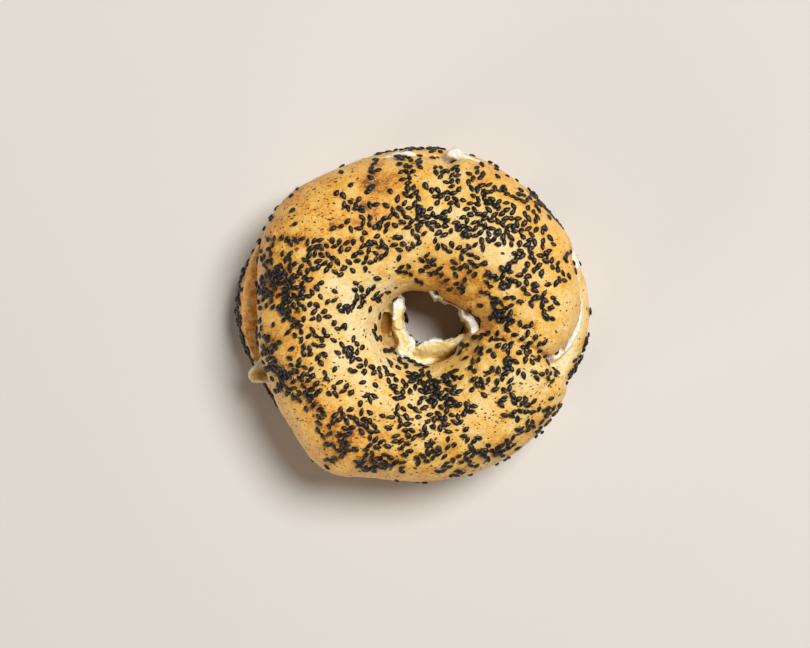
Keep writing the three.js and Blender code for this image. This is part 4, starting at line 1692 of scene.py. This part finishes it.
UPPER_SEEDS = SeedCoat(
    name="upper_seeds",
    node="top_half",
    drifts=drifts(
        # north-west
        (-42.5, 40, -39, 44, 0.8, 0.7), (-50.5, 29.5, -46.5, 36, 1.0, 0.8), (-52.6, 27, -52, 20, 0.9, 0.6),
        (-41.5, 34.8, -41.5, 32), (-49.5, 26, -43, 25.5, 1.0), (-40.5, 25, -36.5, 25, 1.2),
        (-34.5, 24, -22, 25, 1.1, 0.8), (-49.5, 20, -41, 20, 1.0, 0.8), (-25.5, 40.5, -21.5, 36.5),
        (-28.5, 30, -20, 31.5, 0.9, 0.8), (-15.5, 49, -13, 45.5), (-17, 44, -15, 42.5, 0.9),
        (-20.5, 36, -16, 38, 0.6),
        # north
        (-6, 52.5, -1.5, 50, 2.0, 1.3), (0, 50.5, 8, 51.5, 1.0), (-4, 47.5, -0.5, 44.5),
        (9.5, 48, 14, 50, 1.5), (13, 44, 18.5, 47, 2.0, 0.85), (-6, 39.5, 4.5, 43.5, 1.0, 0.75),
        (7, 40.5, 10.5, 39.5, 1.7), (-9, 35, -4, 36, 1.5), (-9, 29, -6, 27, 1.0),
        (-9.5, 31.5, -4, 32.0, 1.2, 1.1), (2, 36.5, 1, 28.5, 1.7, 1.15), (5, 33, 12, 32, 1.2),
        (10.5, 37, 15, 38.5, 1.0), (13.5, 31.5, 19, 26.5, 1.5), (-17, 29, -11, 30.5, 1.3),
        (-17.5, 24.5, -14.5, 24.5, 1.6), (-11, 23.5, -3.5, 24, 1.0), (-20.5, 20, -9, 21, 0.9, 0.85),
        # north-east
        (20.5, 50.3, 24.5, 49.3), (22.3, 48.5, 23.3, 43.5, 1.4, 1.1), (22.5, 42, 25, 38, 1.6, 1.2),
        (18.5, 40, 20.5, 35, 1.1), (27.5, 42.7, 31.5, 43.5, 1.4, 1.1), (32, 42, 37.5, 42),
        (32.5, 40.5, 36, 40, 1.3), (23.5, 37, 24, 34, 1.1), (26, 37, 30.3, 36.5, 1.2),
        (26, 34, 29.5, 33.5, 1.3), (33.5, 39, 33.8, 34.5, 1.5), (38, 38, 41, 34.5, 1.4),
        (36, 32.3, 39.5, 32.5), (37.8, 31.8, 38, 25.5, 1.4), (19.5, 31, 26, 29.5, 1.2),
        (28.5, 31.5, 33.5, 27, 1.2), (27.5, 28, 29.5, 25.5, 1.3), (33.5, 29.8, 36.5, 26, 1.3),
        (33, 27, 34.5, 22, 1.2), (37, 24.5, 39.5, 21, 1.5), (39, 29, 44, 29, 1.0),
        (43, 28.5, 44, 25.5, 1.0), (44, 24, 47, 25, 1.2), (45.2, 23, 44.5, 18.5, 1.0),
        (40.3, 21.3, 39.8, 17.5), (41, 19.3, 42.8, 16.5), (46, 17, 49.3, 17.8, 1.4), (51.3, 21, 50.8, 18.2),
        (51.5, 14, 49.5, 12.5), (31, 16, 34, 18, 1.1), (23, 18, 25.5, 13, 1.4, 1.2), (23, 24.5, 27.5, 23.8),
        (38, 16, 39, 14.3), (33, 14.5, 37, 13),
        # east
        (29, 11.8, 34.5, 12, 1.6, 1.2), (36.5, 12.5, 38.5, 10.3), (38.5, 10, 41.3, 10, 1.1),
        (45.5, 11.3, 50, 10.5, 1.0), (36, 8.4, 39.3, 7.7), (30.5, 5, 35, 4, 1.0),
        (28, 4.5, 28, 1.5, 1.1, 1.2), (28.5, 1.5, 33, -0.5, 1.3, 1.4), (23.7, -0.8, 28, -1.2, 0.6),
        (31, -2.5, 36.5, -3.2, 1.1), (39, -3.3, 40, -4.3, 0.7), (41, 5.5, 46, 2, 1.6, 1.2),
        (43.3, 1.0, 46.2, -1, 0.8), (42.5, 8, 46, 6), (38, -8, 43, -8.5, 1.2), (20.5, -7.2, 28, -7.9, 0.6),
        (34, -11.3, 38.5, -16, 1.3), (40, -15, 43.3, -15.8, 0.6),
        # round the hole
        (-22, 17.5, -16.5, 17.5, 1.1), (-4.3, 18.5, -1.5, 14), (-5.5, 14.3, -0.8, 13.7),
        (-13, 12.5, -10.3, 12, 0.7), (4.6, 20, 3, 15.5, 1.1), (6, 17, 7.5, 14), (10.5, 16.3, 12.8, 13),
        (14.5, 20.5, 19, 19.5, 1.0), (16.5, 23.2, 19, 22.2, 0.9), (9, 15.6, 10, 13.8, 0.8),
        (14.5, 17.5, 19.3, 15, 1.0), (15, 11.7, 16.5, 8.5, 0.9), (15.3, 7, 17, 3, 0.7),
        (21.5, 8, 23, 3, 0.8), (18.5, 1, 21, -1.3), (-21, 9.8, -13.5, 8.3, 0.9), (-19.5, 5, -15, 4, 1.3),
        (-13.8, -2.5, -13.5, -7.3, 0.9), (-9.8, -13.3, -7, -12.3), (-5.5, -15, -0.5, -16.5, 0.7),
        (15, -10, 19, -11, 1.0), (21.5, -10.5, 20.5, -12),
        # west
        (-38.5, 17, -33, 22.5, 1.0), (-50, 17, -41, 17.5, 1.3, 1.2), (-50.9, 12, -47.3, 14.5, 1.5, 1.5),
        (-46, 14, -42.5, 12.5, 1.7, 1.5), (-52.7, 10, -49.9, 6.5, 1.4, 1.3),
        (-47.5, 11, -47.5, 6, 1.0, 1.4), (-43.5, 10, -43, 1, 1.7, 1.5), (-51, 3, -46, 6, 1.1),
        (-41, 10, -38, 10.5, 1.4), (-37.8, 14, -34.3, 9.7, 1.0), (-37, 15.5, -34.5, 15, 1.2),
        (-30.5, 19.5, -27.5, 15, 1.0, 0.8), (-41, -1, -38.5, -4.5, 1.4, 1.2),
        (-40.5, 1.5, -39.5, -1, 1.2, 1.1), (-40.5, 8.2, -39, 6, 1.3, 1.2), (-42.5, -5.3, -35, -5.5, 1.1),
        (-37, 4, -30, 3, 0.9, 0.75), (-34, 0, -30, -0.7, 1.0, 0.85), (-26, 3, -22.5, 1, 1.6),
        (-27.5, -4.5, -24, -4, 0.9), (-34.5, -7, -31, -6.5, 1.4), (-37, -9, -32, -9.5, 1.2),
        (-28.5, -8, -25, -9, 1.1), (-25.5, -11, -21, -13.5, 1.4), (-20.5, -10.5, -18.3, -10.8, 1.0),
        (-51.4, -8, -48.6, -9.2, 1.3, 1.5), (-52.2, -6, -52.2, -1, 1.4, 1.3),
        (-50.5, -11, -48.5, -14.5, 1.4, 1.5), (-50, -17, -46, -17.5, 1.2, 1.5),
        (-46, -19.3, -39, -19, 1.4, 1.3), (-34, -14.2, -30.5, -15, 0.7), (-38, -16, -36, -18.8, 0.9),
        (-22, -19, -17.5, -18.5, 0.8),
        # south-west
        (-45.8, -24.2, -44, -22.3, 1.2, 1.3), (-43.5, -25.3, -40, -24, 1.0), (-37.5, -21.7, -33, -23.2),
        (-32, -24, -29, -25.5, 0.9), (-37.8, -25, -34.8, -28, 1.5, 1.3), (-39.5, -29, -35, -29.3, 1.4, 1.1),
        (-34, -31.3, -32, -33, 1.1), (-28.5, -34, -24, -34.5, 1.2), (-28.3, -37, -28, -38.5, 1.1),
        (-32.5, -38.5, -30, -41, 0.9), (-29, -42.5, -23, -41, 1.4, 1.2), (-24, -42, -24, -44.5, 1.2, 1.2),
        (-26, -47, -23.5, -46.5, 1.1), (-18.5, -49.5, -16.5, -51.5, 1.2, 1.4),
        (-18.8, -30.5, -19, -33.3, 1.0), (-16.3, -32, -17, -37.5, 0.9, 0.85), (-22.8, -25, -21, -26.8, 0.9),
        # south
        (-17, -16.5, -10, -22, 1.0), (1.8, -16.5, 2.5, -20, 1.0), (-9, -21, -7, -26.5, 1.2),
        (-5, -23.5, -1.5, -26.5, 1.2), (-0.5, -22, 4, -24.5, 1.8, 1.5), (4, -23.7, 9.5, -23.3, 1.7, 1.5),
        (-1, -25, 1.5, -26.5, 1.2, 1.2), (9.5, -22.5, 13, -20.3, 1.5, 1.4), (10.5, -25, 14, -22.5, 1.3),
        (5, -25, 6.5, -29, 1.8, 1.5), (8.5, -25, 12, -30, 1.5, 1.3), (8.5, -30.5, 10, -32.5, 1.2, 1.2),
        (4, -32.5, 7.5, -31.7, 1.3), (-0.5, -32.5, 3, -33.5, 0.9), (12.5, -26.5, 16, -26.3),
        (14.7, -13, 16.3, -14.5, 0.9), (7, -35, 9.7, -36.8, 1.1), (0.5, -40.7, 4.5, -40.3, 1.0),
        (5.3, -43.5, 8.3, -45.5, 1.1), (11, -43.7, 12.5, -41.8, 1.0), (-6.4, -35.5, -5.3, -38.7, 0.9),
        (-15, -37, -15, -41, 1.0), (-14, -43, -15, -45, 1.5), (-14.5, -50.5, -9, -50.8, 1.2, 1.3),
        (-12, -49.5, -10, -47.5, 1.0), (-5.5, -49.5, -4, -47.5, 1.0), (2.5, -49.3, 6, -48, 1.4),
        (-2.5, -52, -1, -53, 1.0), (0, -55, 3, -55.2, 1.0, 1.1), (4.8, -53.3, 7, -52.5, 0.9),
        (14.3, -49.8, 14.5, -52.7, 1.4, 1.1), (14.5, -30.7, 19, -31.5, 1.2), (16.3, -41, 18, -42, 1.1),
        # south-east
        (21.5, -16.5, 20.5, -19.5, 1.1), (20.3, -20, 21.5, -25.5, 1.3, 1.15),
        (22, -13, 26.5, -14.5, 1.0, 1.1), (28.5, -12.5, 32.5, -13.8, 0.9), (31.3, -14, 31.5, -18, 1.2, 1.2),
        (34, -13.5, 33.8, -17.5, 1.1, 1.1), (25, -15, 27, -17.5, 1.0), (26.8, -19.5, 30, -20.3, 1.5),
        (37, -18, 37, -20.5, 0.7, 0.8), (41, -19, 43.5, -20.5, 0.9), (46, -20, 47, -23, 0.9),
        (25.5, -23, 30, -24.5, 1.3), (32.3, -23, 33, -25.5, 1.2), (31, -26, 30, -29, 1.0),
        (20.5, -49, 24, -47, 1.5, 1.4), (24, -46.8, 32, -44.5, 1.6, 1.4), (30, -43.5, 32.5, -42.8, 1.1),
        (29.5, -47.3, 31.5, -49, 0.8), (36.3, -38, 42.5, -38.2, 1.3, 1.3), (36, -28.3, 39.5, -30),
        (36.5, -31.3, 39, -33.3, 0.9), (41, -31.3, 44, -31.2, 0.8), (41, -33, 40, -34.7, 0.8),
        (42, -36.5, 44.5, -34.4, 1.4, 1.3), (46, -32.5, 47, -30.3, 1.2), (31, -35, 34, -33.3, 0.9),
        (32.5, -28.8, 32.8, -30, 0.6, 0.8),
    ),
    loose=spots(
        (-38, 37, 9, -0.61), (12, 53.4, 4, -1.4), (-21, -52, 3, -0.6), (26.6, -5.1, 3, -0.6),
        (-5.8, 44.3, 2.5, -0.5), (15.7, -21.5, 2.5, -0.5), (34, -31.7, 2.5, -0.5), (35.8, -21.1, 2.5, -0.5),
        (-16.5, -25, 4, -0.3), (23.2, 27.3, 2.5, -0.4), (4, 52, 4, 0.3), (-20, -29.5, 3, 0.3),
        (22, 6, 3, 0.3), (-14.5, 4, 3, 0.3), (-18, 12, 3, -0.3), (39.5, 0, 3, -0.6), (-49, -3, 4, -0.36),
        (-19, 0, 4, -0.36), (-9, 12, 5, -0.36), (8, -17, 4, -0.54), (52, 0, 6, -0.54), (50, 28, 5, -0.4),
        (24, 20, 4, -0.29), (-42, -42, 8, -0.54), (25, -38, 5, -0.36), (52, -25, 6, -0.36),
        (17, 4, 4, -0.54), (-28, 18, 4, 0.54), (-16, 33, 4, 0.36), (9, 27, 5, 0.36), (-39, 4, 5, 0.45),
        (-45, -9, 4, 0.36), (2, -28, 5, 0.45), (-22, -39, 5, 0.45), (-6, -43, 6, 0.45), (13, -46.5, 4, 0.7),
        (33, -3.5, 3, 0.3), (36, -11, 3, 0.36), (30, -26, 4, 0.18), (-34, -28, 4, 0.36),
    ),
    even=0.31,
    lowest=27.0,
    highest=100,
    draw=7,
)

LOWER_SEEDS = SeedCoat(
    name="lower_seeds",
    node="bottom_half",
    drifts=drifts(
        (-57, 15.5, -60, 5, 1.6), (-60, 5, -60, -5, 1.6), (-59, -7, -54.5, -17, 1.8),
        (-52, -25, -47, -31, 2.0), (60, 1.5, 60, 0, 0.6, 0.8), (59, -8, 58.5, -10, 1.0),
        (57.5, -13, 53, -21.5, 1.1), (-14, 55.5, -10, 56.5, 1.0, 0.6), (-7, 56.5, 8, 56.8, 1.0, 0.6),
        (15, 55.3, 20, 54.3, 0.7, 0.5), (25.5, 52.4, 27.5, 51.5, 0.5, 0.7), (39.5, 41, 42, 37, 1.2),
        (43.3, 35, 48.5, 29.5, 1.3), (55.5, 20.5, 56.3, 19, 0.6), (15.5, -54.3, 24, -51.6, 1.2),
        (25, -51.5, 29, -49.8, 1.2), (-2.8, 1, -2.9, -5, 1.0), (-2, -8, 1.5, -9.8, 0.9),
        (11, -7.5, 15, -5, 1.2),
    ),
    loose=spots((-58, 0, 14, 0.14), (58, 10, 12, -0.1), (0, 57, 14, 0.08)),
    even=0.1,
    lowest=2.5,
    highest=18.5,
    draw=12,
    wall=0.8,
)


# ---------------------------------------------------------------- the studio


@dataclass(frozen=True)
class Lamp:
    """A round soft lamp: its bearing and height in degrees, its width in metres, its watts and its tint."""

    name: str
    bearing: float
    height: float
    size: float
    power: float
    tint: tuple[float, float, float]

    def build(self, distance: float) -> None:
        """Hangs the lamp, facing the bagel.

        Args:
            distance: How far away it hangs, in metres.
        """
        turned, up = np.radians(self.bearing), np.radians(self.height)
        away = Vector((np.cos(turned) * np.cos(up), np.sin(turned) * np.cos(up), np.sin(up)))
        lamp = bpy.data.lights.new(self.name, "AREA")
        lamp.shape = "DISK"
        lamp.size = self.size
        lamp.energy = self.power
        lamp.color = self.tint
        hung = stand(self.name, lamp)
        hung.location = away * distance
        hung.rotation_euler = away.to_track_quat("Z", "Y").to_euler()


@dataclass(frozen=True)
class Studio:
    """The table, the soft light and the camera."""

    table: float = 6.0
    lamps: tuple[Lamp, ...] = (
        Lamp("key", 38.0, 64.0, 1.05, 62.0, (1.0, 0.995, 0.985)),
        Lamp("fill", -140.0, 13.0, 1.2, 17.5, (1.0, 0.96, 0.91)),
    )
    lamp_distance: float = 2.5
    sky: float = 0.12
    sky_tint: Colour = (1.0, 0.95, 0.89, 1.0)
    focal: float = 93.9
    sensor: float = 36.0

    def build_table(self, finish: FloorFinish) -> None:
        """Lays the table under the bagel.

        Args:
            finish: The table's finish.
        """
        half = self.table / 2
        corners = [(-half, -half, 0), (half, -half, 0), (half, half, 0), (-half, half, 0)]
        mesh = bpy.data.meshes.new("table")
        mesh.from_pydata(corners, [], [(0, 1, 2, 3)])
        table = piece_of("table", mesh, finish.build())

    def build_light(self) -> None:
        """Hangs the lamps and lights the room."""
        for lamp in self.lamps:
            lamp.build(self.lamp_distance)
        world = bpy.data.worlds.new("room")
        world.use_nodes = True
        glow = world.node_tree.nodes["Background"].inputs
        glow["Color"].default_value = self.sky_tint
        glow["Strength"].default_value = self.sky
        bpy.context.scene.world = world

    def build_camera(self) -> None:
        """Stands the camera straight over the bagel."""
        camera = stand("camera", bpy.data.cameras.new("camera"))
        camera.data.lens = self.focal
        camera.data.sensor_width = self.sensor
        camera.location = Vector((SIGHT.x, SIGHT.y, SIGHT.level + SIGHT.height)) * MM
        bpy.context.scene.camera = camera

    def build(self) -> None:
        """Sets up the whole studio."""
        bpy.context.scene.view_settings.view_transform = "Standard"
        self.build_table(FloorFinish())
        self.build_light()
        self.build_camera()


# ---------------------------------------------------------------- all together


def report(piece: bpy.types.Object) -> None:
    """Logs how many faces a piece has."""
    log.info("%s has %d faces", piece.name, len(piece.data.polygons))


def main() -> None:
    """Builds every piece in order and logs how many faces each has."""
    logging.basicConfig(level=logging.INFO, format="%(name)s: %(message)s")
    Studio().build()
    halves = ((LOWER, LOWER_SEEDS), (UPPER, UPPER_SEEDS))
    for half, coat in halves:
        finishes = CrustFinish(f"{half.name}_crust"), CrumbFinish(f"{half.name}_crumb")
        report(half.build(*finishes, coat))
    report(CreamCheese().build(CheeseFinish()))
    scatter = Scatter()
    for half, coat in halves:
        report(coat.build(half, scatter, SeedFinish()))


if __name__ == "__main__":
    main()
